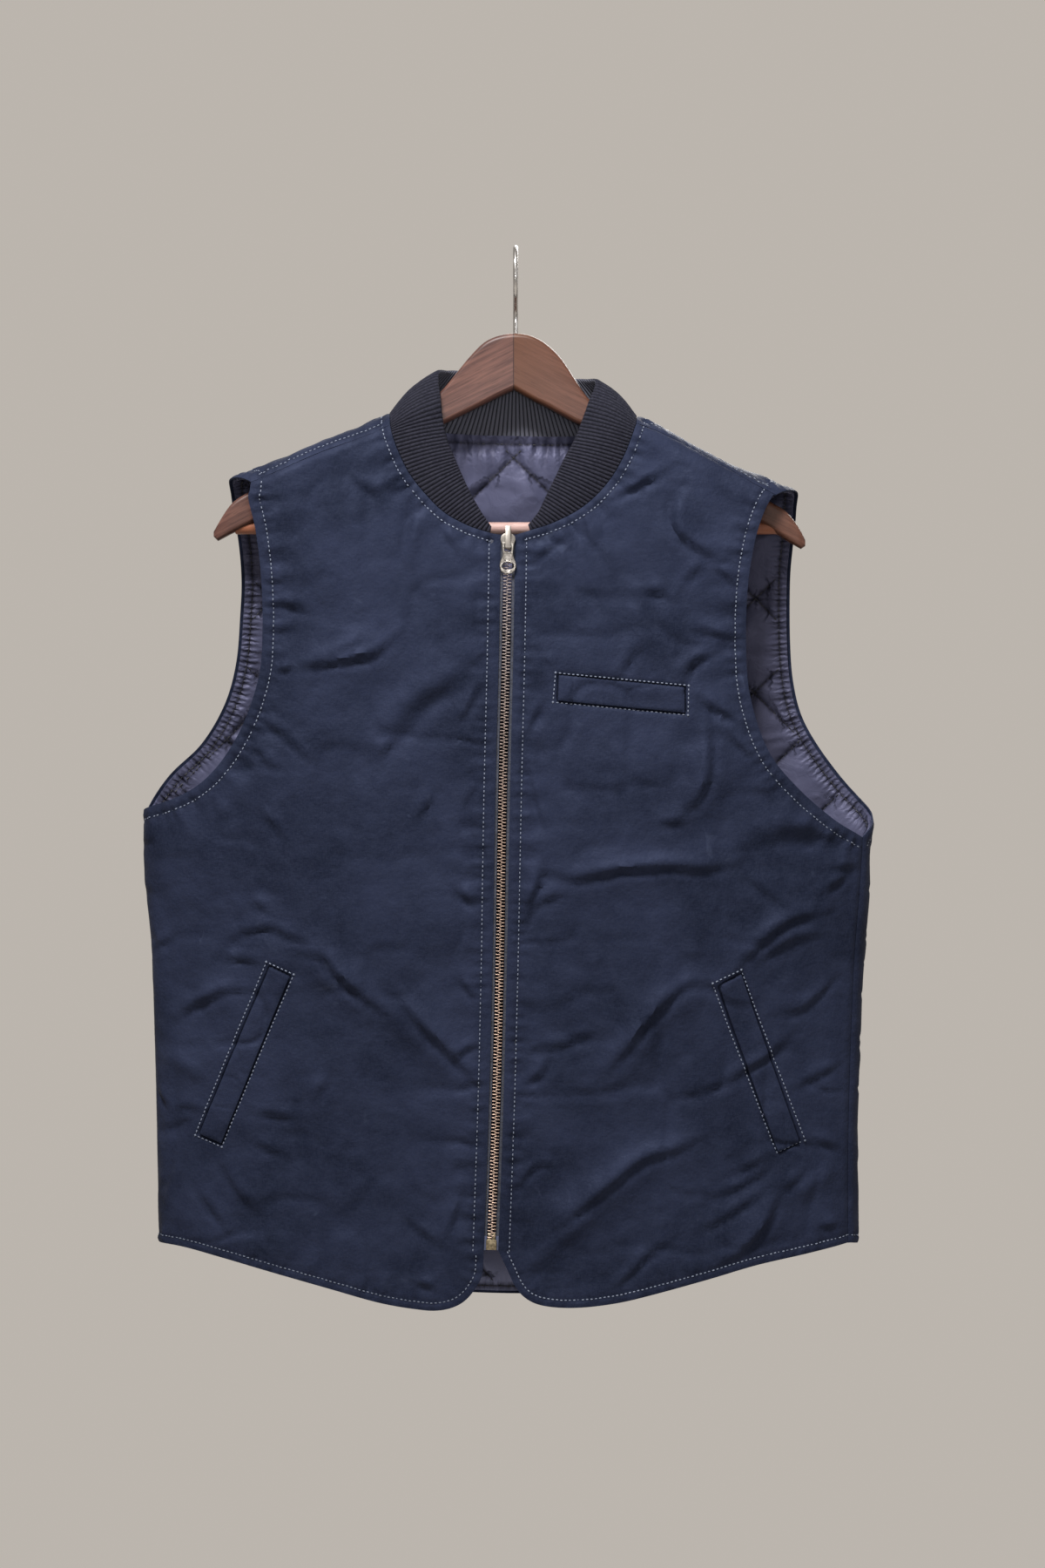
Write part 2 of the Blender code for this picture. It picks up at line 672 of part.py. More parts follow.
def collar_seams():
    """The collar's three seams: right front, back and left front, as (side, line)."""
    seams = [n for n, row in enumerate(COLLAR_ROWS) if row[0] == SEAM]
    first, last = seams
    return [
        (FRONT, neckline(COLLAR_ROWS[: first + 1], FRONT)),
        (BACK, neckline(COLLAR_ROWS[first : last + 1], BACK)),
        (FRONT, neckline(COLLAR_ROWS[last:], FRONT)),
    ]


def table_line(side, rows):
    return spot(side, column(rows, 0), column(rows, 1))


def zip_side(offset, top, foot, count):
    """A line beside the zip on the fronts."""
    z = np.linspace(top, foot, count)
    return spot(FRONT, rounded(ZIP_LINE, 0, 1, z) + offset, z)


def pull_in(outline):
    return inset(outline, PULLED_IN)


# ---------------------------------------------------------------- fronts, back, linings, welts

SEAM_ENDS = {"right": (-199.0, -94.8), "left": (196.0, 91.5)}


def build_front(name, lining_name, left, armhole, hem, underarm, welts):
    """A front with its lining and its pocket welts."""
    sign = 1 if left else -1
    tip, neck = SEAM_ENDS["left" if left else "right"]
    shoulder = seam_shoulder(neck, tip, FRONT)
    collar_seam = curve(collar_seams()[2 if left else 0][1], NECK_STEP)
    if left:
        collar_seam = collar_seam[::-1]
    placket = zip_side(sign * PLACKET_EDGE, ZIP_TOP - 0.5, ZIP_FOOT, PLACKET_STEPS)
    side_seam = seam_side(left, FRONT, underarm)
    arm = curve(np.concatenate([table_line(FRONT, armhole), side_seam[:1]]), ARM_STEP)
    bottom = np.concatenate([placket[-1:], table_line(FRONT, hem), side_seam[-1:]])
    bottom = curve(bottom, FRONT_HEM_STEP)
    outline = joined(
        placket, bottom, side_seam[::-1], arm[::-1], shoulder[::-1], collar_seam[::-1],
    )
    above, below = ZIP_TOP + 12, RINGS[-1][0] + 18
    fold = zip_side(sign * LINING_EDGE, above, below, LINING_EDGE_STEPS)
    loops = [curve_loop(welt) for _, welt in welts]

    def lined(middle):
        x = surface(FRONT, middle[:, 0], middle[:, 1])
        return sign * (x[:, 0] - rounded(ZIP_LINE, 0, 1, x[:, 2])) > LINING_EDGE

    places, points, lift, triangles = panel(
        name, lining_name, FRONT, pull_in(outline), [fold], loops, lined)
    middle = places[triangles].mean(axis=1)
    both = np.hstack([points + lift * GAP, points + lift * (GAP + WELT)])
    for (welt_name, _), loop in zip(welts, loops):
        held, pieces = keep(both, triangles, inside(loop, middle))
        wall(welt_name, held[:, :3], held[:, 3:], pieces, WAXED)


def curve_loop(corners):
    """A four-cornered outline on a front, with points along its long sides."""
    places = table_line(FRONT, corners)
    loop = []
    for start, end in zip(places, np.roll(places, -1, axis=0)):
        steps = max(1, round(np.linalg.norm(end - start) / WELT_STEP))
        loop += [start + (end - start) * n / steps for n in range(steps)]
    return np.array(loop)


def build_back():
    """The back panel, which comes over both shoulders to the seams in front."""
    shoulders = {}
    for key, (tip, neck) in SEAM_ENDS.items():
        shoulders[key] = seam_shoulder(tip, neck, BACK)
    collar_seam = curve(collar_seams()[1][1], NAPE_STEP)
    arms = {}
    for key, rows, tip, underarm in (
        ("right", ARMHOLE_BACK_RIGHT, SHOULDER_TIP_RIGHT, UNDERARM_RIGHT),
        ("left", ARMHOLE_BACK_LEFT, SHOULDER_TIP_LEFT, UNDERARM_LEFT),
    ):
        seam = seam_side(key == "left", BACK, underarm)
        top = shoulders[key][:1]
        ridge = spot(BACK, tip[0], tip[1])[None]
        arms[key] = curve(np.concatenate([top, ridge, table_line(BACK, rows), seam[:1]]), ARM_STEP)
    right_seam = seam_side(False, BACK, UNDERARM_RIGHT)
    left_seam = seam_side(True, BACK, UNDERARM_LEFT)
    hem = np.concatenate([right_seam[-1:], table_line(BACK, HEM_BACK), left_seam[-1:]])
    outline = joined(
        shoulders["right"], collar_seam, shoulders["left"][::-1], arms["left"], left_seam,
        curve(hem, BACK_HEM_STEP)[::-1], right_seam[::-1], arms["right"][::-1],
    )
    panel("back_shell", "back_lining", BACK, pull_in(outline))


def collar_lines():
    """Evenly spaced places along the collar: its seam, the way out of the cloth there, its edge."""
    seam, out = [], []
    seams = collar_seams()
    for n, (side, line) in enumerate(seams):
        fine = smooth(line)
        if n + 1 < len(seams):
            fine = fine[:-1]
        seam.append(surface(side, fine[:, 0], fine[:, 1]))
        out.append(outward(side, fine[:, 0], fine[:, 1]))
    edge = smooth([row[3:6] for row in COLLAR_ROWS])
    both = np.hstack([np.concatenate(seam), np.concatenate(out), edge])
    middle = (both[:, :3] + both[:, 6:]) / 2
    walked = np.concatenate([[0], np.cumsum(np.linalg.norm(np.diff(middle, axis=0), axis=1))])
    count = 2 * round(walked[-1] / RIB_PITCH) + 1
    at = np.linspace(0, walked[-1], count)
    found = np.stack([np.interp(at, walked, both[:, n]) for n in range(9)], -1)
    return found[:, :3], found[:, 3:6], found[:, 6:]


def build_collar():
    """A doubled band of rib knit, with its ribs running from seam to edge."""
    seam, base_out, edge = collar_lines()
    count = len(seam)
    up = edge - seam
    height = np.linalg.norm(up, axis=1, keepdims=True)
    up /= height
    band_out = np.cross(up, np.gradient(seam + edge, axis=0))
    band_out /= np.linalg.norm(band_out, axis=1, keepdims=True)
    base_out /= (base_out * band_out).sum(axis=1, keepdims=True)
    rib = np.where(np.arange(count) % 2 == 0, RIB_GROOVE, 1.0)[:, None]
    inner, outer = [], []
    for level in (0.0, 0.5, 1.0):
        line = seam + up * (COLLAR_GAP + (height - COLLAR_GAP) * level)
        bulge = BAND_BULGE * math.sin(math.pi * level) * np.clip(height / 45, 0, 1)
        out = base_out if level == 0 else band_out
        inner.append(line + band_out * bulge - out * COLLAR)
        outer.append(line + band_out * bulge - out * COLLAR * (1 - rib))
    triangles = []
    for corner in range(2 * count):
        if corner % count < count - 1:
            a, b, c, d = corner, corner + 1, corner + 1 + count, corner + count
            triangles += [(a, b, c), (a, c, d)]
    wall("rib_collar", np.concatenate(outer) * MM, np.concatenate(inner) * MM, triangles, RIB)


# ---------------------------------------------------------------- zip


def build_tape(name, sign):
    """One side of the zip's tape, under the front's folded edge."""
    heights = np.linspace(ZIP_TOP - 0.5, ZIP_FOOT, PLACKET_STEPS)
    columns = []
    for offset in (TAPE_IN, PLACKET_EDGE, TAPE_OUT):
        x = rounded(ZIP_LINE, 0, 1, heights) + sign * offset
        columns.append(spot(FRONT, x, heights))
    places = np.concatenate(columns)
    count = len(heights)
    triangles = []
    for k in range(2):
        for n in range(count - 1):
            a, b = k * count + n, k * count + n + 1
            triangles += [(a, b, b + count), (a, b + count, a + count)]
    triangles = facing_out(FRONT, np.array(triangles), places)
    near, far = cloth(FRONT, places, LINING_DEPTH), cloth(FRONT, places, LINING_DEPTH + TAPE)
    wall(name, near, far, triangles, TAPE_CLOTH)


def zip_point(z, depth, offset=0.0):
    place = spot(FRONT, rounded(ZIP_LINE, 0, 1, z) + offset, z)
    return cloth(FRONT, place[None], depth)[0]


def loft(name, sections, look):
    """A closed solid through sections that have the same number of points."""
    mesh = bpy.data.meshes.new(name)
    built = bmesh.new()
    rings = [[built.verts.new(tuple(p)) for p in section] for section in sections]
    for ring, after in zip(rings, rings[1:]):
        for n in range(len(ring)):
            m = (n + 1) % len(ring)
            built.faces.new((ring[n], ring[m], after[m], after[n]))
    built.faces.new(rings[0][::-1])
    built.faces.new(rings[-1])
    bmesh.ops.recalc_face_normals(built, faces=built.faces)
    built.to_mesh(mesh)
    built.free()
    return add(name, mesh, look)


def build_chain():
    """The closed rows of teeth as one bar that follows the zip."""
    sections = []
    for z in np.linspace(CHAIN_TOP, CHAIN_FOOT, 15):
        front, back = CHAIN_DEPTHS
        corners = ((-CHAIN_HALF, front), (CHAIN_HALF, front), (CHAIN_HALF, back), (-CHAIN_HALF, back))
        sections.append([zip_point(z, depth, offset) for offset, depth in corners])
    loft("zip_chain", sections, BRASS)


def block(name, size, centre, look, frame, bevel=0.0):
    """A box given in millimetres in a local frame, with its edges rounded."""
    bpy.ops.mesh.primitive_cube_add(size=1)
    made = bpy.context.object
    made.name = made.data.name = name
    made.data.transform(Matrix.Diagonal((*(s * MM for s in size), 1)))
    made.data.transform(frame @ Matrix.Translation(Vector(centre) * MM))
    made.data.materials.append(look)
    for home in list(made.users_collection):
        home.objects.unlink(made)
    VEST.objects.link(made)
    if bevel:
        rounding = made.modifiers.new("rounding", "BEVEL")
        rounding.width = bevel * MM
        rounding.segments = 2
        rounding.limit_method = "NONE"
    return made


def zip_frame(z, across=0.0):
    """A frame on the zip: X across, Y into the cloth, Z up along the zip."""
    above, below = (Vector(zip_point(z + step, 0.0, across)) for step in (3, -3))
    up = (above - below).normalized()
    right = Vector((1, 0, 0))
    right = (right - up * right.dot(up)).normalized()
    back = up.cross(right)
    turn = Matrix((right, back, up)).transposed().to_4x4()
    return Matrix.Translation(Vector(zip_point(z, 0.0, across))) @ turn


def extruded(name, outline, thickness, look, frame, holes=()):
    """A flat outline in the frame's XZ plane, made solid evenly before and behind it."""
    flat = bpy.data.curves.new(name, "CURVE")
    flat.dimensions = "2D"
    flat.fill_mode = "BOTH"
    flat.extrude = thickness / 2 * MM
    for points in (outline, *holes):
        spline = flat.splines.new("POLY")
        spline.points.add(len(points) - 1)
        for point, (x, z) in zip(spline.points, points):
            point.co = (x * MM, z * MM, 0, 1)
        spline.use_cyclic_u = True
    drawn = bpy.data.objects.new(name + "_outline", flat)
    bpy.context.scene.collection.objects.link(drawn)
    drawn.matrix_world = frame @ Matrix.Rotation(math.pi / 2, 4, "X")
    bpy.context.view_layer.update()
    evaluated = drawn.evaluated_get(bpy.context.evaluated_depsgraph_get())
    mesh = bpy.data.meshes.new_from_object(evaluated)
    mesh.transform(drawn.matrix_world)
    bpy.data.objects.remove(drawn, do_unlink=True)
    built = bmesh.new()
    built.from_mesh(mesh)
    bmesh.ops.remove_doubles(built, verts=built.verts, dist=0.00001)
    bmesh.ops.recalc_face_normals(built, faces=built.faces)
    built.to_mesh(mesh)
    built.free()
    mesh.materials.clear()
    return add(name, mesh, look)


def boolean(target, tool, operation):
    """Join or cut two solids, and remove the tool."""
    action = target.modifiers.new(operation.lower(), "BOOLEAN")
    action.operation = operation
    action.solver = "EXACT"
    action.object = tool
    bpy.context.view_layer.update()
    evaluated = target.evaluated_get(bpy.context.evaluated_depsgraph_get())
    mesh = bpy.data.meshes.new_from_object(evaluated)
    target.modifiers.clear()
    target.data = mesh
    bpy.data.objects.remove(tool, do_unlink=True)


def ellipse(across, along, centre=(0, 0), count=20, start=0.0, sweep_by=math.tau):
    closed = sweep_by == math.tau
    steps = count if closed else count - 1
    angles = [start + sweep_by * n / steps for n in range(count)]
    return [(centre[0] + across * math.cos(t), centre[1] + along * math.sin(t)) for t in angles]


SLIDER_HEIGHT = -223.4         # the middle of the slider's body
SLIDER_BODY = (11.4, 11.0)     # across and along the zip
PLATE_DEPTHS = (-2.2, -0.4)
BACK_PLATE_DEPTHS = (2.7, 4.2)
WEDGE_HALF = 1.6
BAIL_WIDTH = 4.2
BAIL_DEPTHS = (-6.6, -5.4)
BAIL_TOP, BAIL_FOOT = 10.8, -6.8
PULL_AXIS = (-2.6, -4.0)       # the pull's cross bar: along and out of the slider's middle
PULL_THICK = 1.5


def build_slider():
    """Two plates joined by a wedge between the tapes, with the bail that carries the pull."""
    frame = zip_frame(SLIDER_HEIGHT)
    half, high = SLIDER_BODY[0] / 2, SLIDER_BODY[1] / 2
    body = [(-half * 0.72, -high), (half * 0.72, -high), (half, high * 0.2), (half * 0.86, high * 0.75),
            (half * 0.45, high), (-half * 0.45, high), (-half * 0.86, high * 0.75), (-half, high * 0.2)]

    def plate(name, depths):
        middle = Matrix.Translation((0, sum(depths) / 2 * MM, 0))
        return extruded(name, body, depths[1] - depths[0], NICKEL, frame @ middle)

    made = plate("zip_slider", PLATE_DEPTHS)
    front, back = PLATE_DEPTHS[0] + 0.5, BACK_PLATE_DEPTHS[1] - 0.5
    wedge = block("wedge", (WEDGE_HALF * 2, back - front, SLIDER_BODY[1] - 1.0),
                  (0, (front + back) / 2, 0), NICKEL, frame)
    boolean(made, plate("back_plate", BACK_PLATE_DEPTHS), "UNION")
    boolean(made, wedge, "UNION")
    outer, inner = BAIL_DEPTHS
    root = PLATE_DEPTHS[0] + 0.4
    bail = [(outer, BAIL_FOOT + 1.0), (outer + 0.8, BAIL_FOOT), (root, BAIL_FOOT + 1.3), (root, BAIL_FOOT + 2.6),
            (inner, BAIL_FOOT + 1.6), (inner, BAIL_TOP - 5.0), (root, BAIL_TOP - 6.6),
            (root, BAIL_TOP - 4.0), (outer + 1.4, BAIL_TOP), (outer, BAIL_TOP - 1.2)]
    sideways = frame @ Matrix.Rotation(math.pi / 2, 4, "Z")
    boolean(made, extruded("bail", bail, BAIL_WIDTH, NICKEL, sideways), "UNION")
    made.data.shade_smooth()
    made.data.set_sharp_from_angle(angle=math.radians(40))


def build_pull():
    """The pull tab, which hangs from the bail by the cross bar over its slot."""
    frame = zip_frame(SLIDER_HEIGHT)
    along, out = PULL_AXIS
    axis = frame @ Vector((0, out * MM, along * MM))
    upright = Matrix.Translation(axis)
    outline = [(-4.1, 1.0), (-4.6, 0.5), (-4.5, -9.0), (-5.0, -12.2)]
    outline += ellipse(6.2, 6.2, (0, -16.6), 17, math.radians(155), math.radians(230))
    outline += [(5.0, -12.2), (4.5, -9.0), (4.6, 0.5), (4.1, 1.0)]
    slot = [(-2.5, -0.75), (-2.5, -5.4), (-1.4, -6.3), (1.4, -6.3), (2.5, -5.4), (2.5, -0.75)]
    ring = ellipse(4.4, 2.9, (0, -16.8), 16)
    made = extruded("zip_pull", outline, PULL_THICK, NICKEL, upright, [slot, ring[::-1]])
    made.data.transform(Matrix.Translation(-axis))
    made.location = axis


BOX_SIZE, BOX_HEIGHT, BOX_OUT, BOX_EDGE = (8.0, 2.2, 7.8), -750.9, 0.1, 0.4


def build_box():
    """The retainer box at the foot of the zip."""
    block("zip_box", BOX_SIZE, (0, -BOX_OUT, 0), OLD_BRASS, zip_frame(BOX_HEIGHT), BOX_EDGE)


# ---------------------------------------------------------------- hanger


def build_wood():
    sections = []
    for x, bottom, top, half in WOOD:
        corner = min(WOOD_CORNER, half * 0.6, (top - bottom) * 0.3)
        y = float(sweep(np.float64(x), np.float64(-180)))
        ring = []
        for sign_y, sign_z, start in ((1, 1, 0), (-1, 1, 90), (-1, -1, 180), (1, -1, 270)):
            for step in (15, 75):
                angle = math.radians(start + step)
                level = top if sign_z > 0 else bottom
                ring.append((
                    x,
                    y + sign_y * (half - corner) + corner * math.cos(angle),
                    level - sign_z * corner + corner * math.sin(angle),
                ))
        sections.append(np.array(ring) * MM)
    wood = loft("hanger_wood", sections, WALNUT)
    bar_line = Vector((0, BAR_BACK * MM, BAR_HEIGHT * MM))
    for name, radius, grow in (("socket", SOCKET_RADIUS, 0.3), ("hanger_bar", BAR_RADIUS, 0.0)):
        length = (BAR_LEFT - BAR_RIGHT + 2 * grow) * MM
        bpy.ops.mesh.primitive_cylinder_add(vertices=16, radius=radius * MM, depth=length)
        rod = bpy.context.object
        rod.name = rod.data.name = name
        turn = Matrix.Rotation(math.pi / 2, 4, "Y")
        middle = Vector(((BAR_RIGHT + BAR_LEFT) / 2 * MM, 0, 0)) + bar_line
        rod.data.transform(Matrix.Translation(middle) @ turn)
        for home in list(rod.users_collection):
            home.objects.unlink(rod)
        VEST.objects.link(rod)
        if name == "socket":
            boolean(wood, rod, "DIFFERENCE")
        else:
            rod.data.materials.append(WALNUT)
            rod.data.shade_smooth()
            rod.data.set_sharp_from_angle(angle=math.radians(40))


def build_hook():
    """The wire hook, which opens to the back, from the wood's top round to its tip."""
    start, end, step = HOOK_ARC
    turns = np.radians(np.arange(start, end - 1, -step))
    arc = np.stack([HOOK_RADIUS * np.cos(turns), HOOK_RADIUS * np.sin(turns) - HOOK_INSIDE], -1)
    points = curve(np.concatenate([HOOK_STEM, arc]), HOOK_STEP)
    wire = bpy.data.curves.new("hanger_hook", "CURVE")
    wire.dimensions = "3D"
    wire.bevel_depth = WIRE_RADIUS * MM
    wire.bevel_resolution = 2
    wire.use_fill_caps = True
    spline = wire.splines.new("POLY")
    spline.points.add(len(points) - 1)
    for point, (y, z) in zip(spline.points, points):
        point.co = (0, y * MM, z * MM, 1)
    wire.materials.append(STEEL)
    VEST.objects.link(bpy.data.objects.new("hanger_hook", wire))


build_front("front_right_shell", "front_right_lining", False, ARMHOLE_FRONT_RIGHT, HEM_RIGHT, UNDERARM_RIGHT,
            [("right_pocket_welt", RIGHT_POCKET_WELT)])
build_front("front_left_shell", "front_left_lining", True, ARMHOLE_FRONT_LEFT, HEM_LEFT, UNDERARM_LEFT,
            [("chest_welt", CHEST_WELT), ("left_pocket_welt", LEFT_POCKET_WELT)])
build_back()
build_collar()
build_tape("zip_tape_right", -1)
build_tape("zip_tape_left", 1)
build_chain()
build_slider()
build_pull()
build_box()
build_wood()
build_hook()
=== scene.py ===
"""Looks of the lined, waxed cotton zip vest on its wooden hanger."""
import json
import math

import bmesh
import bpy
import numpy as np
from mathutils import Matrix, Vector, geometry
from mathutils.kdtree import KDTree

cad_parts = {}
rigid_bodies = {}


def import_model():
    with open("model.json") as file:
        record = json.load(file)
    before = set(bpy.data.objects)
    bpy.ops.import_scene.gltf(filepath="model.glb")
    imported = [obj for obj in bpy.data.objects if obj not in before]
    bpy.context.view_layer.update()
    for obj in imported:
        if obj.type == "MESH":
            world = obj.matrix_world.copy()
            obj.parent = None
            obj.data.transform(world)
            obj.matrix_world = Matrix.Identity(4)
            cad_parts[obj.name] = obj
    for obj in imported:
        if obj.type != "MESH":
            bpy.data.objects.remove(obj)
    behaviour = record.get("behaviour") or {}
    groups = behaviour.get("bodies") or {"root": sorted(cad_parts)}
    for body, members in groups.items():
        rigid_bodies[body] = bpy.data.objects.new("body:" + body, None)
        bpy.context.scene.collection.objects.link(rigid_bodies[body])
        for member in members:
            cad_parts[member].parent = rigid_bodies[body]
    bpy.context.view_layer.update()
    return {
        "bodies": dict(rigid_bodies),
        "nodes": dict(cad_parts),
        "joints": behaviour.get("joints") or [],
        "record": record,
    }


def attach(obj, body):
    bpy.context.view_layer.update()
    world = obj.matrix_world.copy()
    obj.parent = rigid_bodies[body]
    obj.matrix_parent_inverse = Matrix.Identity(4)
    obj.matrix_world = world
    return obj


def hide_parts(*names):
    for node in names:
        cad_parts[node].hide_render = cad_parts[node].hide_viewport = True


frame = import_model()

# ---- Stage, light and camera.
# A pale floor well under the vest, a pale warm studio all round it, a broad key light from the upper
# left, others from the sides and the back, and a narrow soft beam into the neck. The camera is level with
# the vest's middle, 2.6 m in front.
FLOOR_HEIGHT, FLOOR_RADIUS = -1.72, 3.0
FLOOR, STUDIO = (0.42, 0.395, 0.365), (0.500, 0.462, 0.420)
CAMERA_AT, LENS = (0.0053, -2.6, -0.4058), 78.5
LIGHTS = [
    # name, place, aim, size, watts, colour
    ("key", (-0.50, -1.45, 1.9), (0.0, 0.0, -0.45), 0.8, 204, (1.0, 0.98, 0.96)),
    ("side", (2.3, -1.3, 0.3), (0.0, 0.0, -0.42), 1.2, 8, (0.93, 0.96, 1.0)),
    ("front", (0.25, -2.9, -0.1), (0.0, 0.0, -0.20), 0.9, 14, (1.0, 0.98, 0.97)),
    ("back", (0.6, 2.4, 1.2), (0.0, 0.0, -0.42), 1.6, 95, (1.0, 0.98, 0.96)),
]
NECK_BEAM = {
    "place": (0.0, -2.6, -0.30), "aim": (0.0, 0.0, -0.145), "watts": 220, "colour": (0.96, 0.97, 1.0),
}
BEAM_OPENING, BEAM_SIZE = 4.2, 0.12

bpy.ops.mesh.primitive_circle_add(vertices=96, radius=FLOOR_RADIUS, fill_type="NGON",
                                  location=(0, 0, FLOOR_HEIGHT))
floor = bpy.context.object
floor.name = "studio_floor"
floor_look = bpy.data.materials.new("studio_floor")
floor_look.use_nodes = True
floor_shader = floor_look.node_tree.nodes["Principled BSDF"]
floor_shader.inputs["Base Color"].default_value = (*FLOOR, 1)
floor_shader.inputs["Roughness"].default_value = 0.9
floor.data.materials.append(floor_look)

world = bpy.data.worlds.new("studio")
world.use_nodes = True
world.node_tree.nodes["Background"].inputs["Color"].default_value = (*STUDIO, 1)
world.node_tree.nodes["Background"].inputs["Strength"].default_value = 1.0
bpy.context.scene.world = world


def hung_lamp(name, kind, place, aim, watts, colour):
    """A lamp at a place, turned to shine at its aim."""
    lamp = bpy.data.lights.new(name, kind)
    lamp.energy, lamp.color = watts, colour
    lamp_object = bpy.data.objects.new(name, lamp)
    lamp_object.location = place
    lamp_object.rotation_euler = (Vector(aim) - Vector(place)).to_track_quat("-Z", "Y").to_euler()
    bpy.context.scene.collection.objects.link(lamp_object)
    return lamp


for name, place, aim, size, watts, colour in LIGHTS:
    hung_lamp(name, "AREA", place, aim, watts, colour).size = size
beam = hung_lamp("neck_beam", "SPOT", **NECK_BEAM)
beam.spot_size, beam.spot_blend, beam.shadow_soft_size = math.radians(BEAM_OPENING), 1.0, BEAM_SIZE

camera = bpy.data.objects.new("camera", bpy.data.cameras.new("camera"))
camera.location = CAMERA_AT
camera.rotation_euler = (math.pi / 2, 0, 0)
camera.data.lens = LENS
bpy.context.scene.collection.objects.link(camera)
bpy.context.scene.camera = camera
bpy.context.scene.view_settings.view_transform = "Standard"

# ---- Right front of waxed cotton.
# A panel of heavy waxed cotton, turned under and stitched down along the zip, the armhole and the
# hem, with a slanted pocket for the hand. It hangs from the hanger's arm; its form follows the vest's
# level sections, the shoulders' ridge and the largest folds, with creases and crumple on top.
MM = 0.001
FRONT, SEAM, BACK = -1, 0, 1
SHELL, GAP, HALF_GAP = 1.2, 0.3, 0.2
SHOULDER_ROUND, SHOULDER_DEPTH, CHEST_HALF, CHEST_DEPTH, SECTION_POWER = 20.0, 20.0, 272.0, 38.0, 2.6
ARM_SWEEP, ARM_REACH, SWEEP_FROM, SWEEP_OVER = 14.0, 220.0, -330.0, 150.0
PLACKET_EDGE, ZIP_TOP, ZIP_FOOT = 5.4, -218.5, -755.5
RINGS = [
    # height, right side, left side, front, back
    (-90, -286, 276, 17, 19),
    (-180, -286, 276, 26, 23),
    (-250, -285, 276, 34, 27),
    (-330, -284, 275, 40, 31),
    (-427, -283, 272.5, 45, 35),
    (-477, -281.5, 270, 45, 36),
    (-533, -276.5, 265.5, 44, 36),
    (-600, -274.5, 262.5, 42, 35),
    (-680, -272.5, 260.5, 40, 33),
    (-757, -271.5, 260.5, 38, 31),
    (-830, -271, 260.5, 37, 30),
]
RIDGE = [
    # across, height of the shoulders' top line
    (-250, -189), (-215, -174), (-191, -164.5), (-148, -145.6), (-107, -129.5), (-90, -121.5),
    (-50, -108), (0, -102), (50, -111), (90, -125.5), (103, -131), (145, -153), (187, -173),
    (213, -184), (250, -198),
]
SHOULDER_SEAM = [
    # across, drop below the ridge
    (-200, 11), (-154, 10.5), (-97, 11), (92, 7), (128, 5), (151, 6), (181, 10), (202, 12),
]
ZIP_LINE = [
    # height, across
    (-200, -5.3), (-310, -7.1), (-402, -9.3), (-550, -12.0), (-642, -14.3), (-756, -18.3), (-830, -21.0),
]
COLLAR_ROWS = [
    # panel that it is sewn to, then its seam's place across and up, and its free edge's place
    (FRONT, -19, -217, -18, -29.5, -212),
    (FRONT, -35.5, -211.5, -24.5, -28.5, -202.5),
    (FRONT, -53, -202, -33.5, -27, -187),
    (FRONT, -67, -188.5, -40.5, -25, -172),
    (FRONT, -80, -172, -45.5, -23, -160),
    (FRONT, -88, -156, -51, -20.5, -146.5),
    (FRONT, -93.2, -142, -54.3, -17.5, -132),
    (SEAM, -94.8, None, -56.6, -15.5, -114),
    (BACK, -95.5, -124.2, -59.5, -1, -92),
    (BACK, -89, -131, -52, 11, -89.5),
    (BACK, -70, -136, -41, 15, -90),
    (BACK, -38, -139, -22, 17.5, -92),
    (BACK, 0, -140, 0, 18.5, -94),
    (BACK, 38, -140.5, 23, 17.5, -95.5),
    (BACK, 69, -138.5, 43, 15, -96),
    (BACK, 87, -134, 54, 11, -96),
    (BACK, 92.3, -126.9, 62, -1, -98.5),
    (SEAM, 91.5, None, 55.5, -15, -116),
    (FRONT, 88, -143, 49.5, -17.5, -132),
    (FRONT, 82.5, -157, 43.5, -20.5, -147),
    (FRONT, 74, -172.5, 36.5, -23, -160),
    (FRONT, 62.5, -187, 31, -25, -172),
    (FRONT, 47.5, -199.5, 24.5, -27, -185.5),
    (FRONT, 28, -209.5, 17, -28.5, -201),
    (FRONT, 11, -215, 9.5, -29.5, -210.5),
]
UNDERARM_RIGHT, UNDERARM_LEFT, HEM_SIDE = -428.0, -446.0, -752.5
SEAM_PAST_RIGHT, SEAM_BEFORE_LEFT = 6.0, 0.967
SEAM_ENDS = {"right": (-199.0, -94.8), "left": (196.0, 91.5)}
BIG_FOLDS = [
    # side, then start, middle and end as across and height, then rise and half width
    (FRONT, (-166, -318), (-125, -313), (-93, -297), 4.0, 15),
    (FRONT, (-164, -532), (-134, -548), (-97, -578), 4.5, 15),
    (FRONT, (-88, -566), (-70, -587), (-40, -620), 3.5, 15),
    (FRONT, (-240, -573), (-226, -564), (-208, -560), 3.0, 14),
    (FRONT, (126, -190), (122, -217), (150, -236), 3.0, 14),
    (FRONT, (144, -370), (144, -402), (128, -426), 3.5, 14),
    (FRONT, (50, -471), (100, -469), (160, -465), 4.0, 15),
    (FRONT, (168, -540), (200, -511), (228, -502), 3.5, 15),
    (FRONT, (147, -557), (113, -569), (73, -617), 4.5, 15),
    (FRONT, (40, -730), (95, -688), (133, -673), 4.5, 16),
    (FRONT, (150, -755), (184, -735), (194, -705), 3.5, 15),
    (BACK, (-160, -300), (-110, -330), (-70, -380), 4.0, 17),
    (BACK, (150, -310), (110, -345), (80, -400), 4.0, 17),
    (BACK, (-180, -560), (-120, -590), (-60, -600), 4.0, 17),
    (BACK, (60, -540), (120, -560), (180, -590), 4.0, 17),
    (BACK, (-120, -720), (-60, -690), (20, -700), 4.0, 18),
]
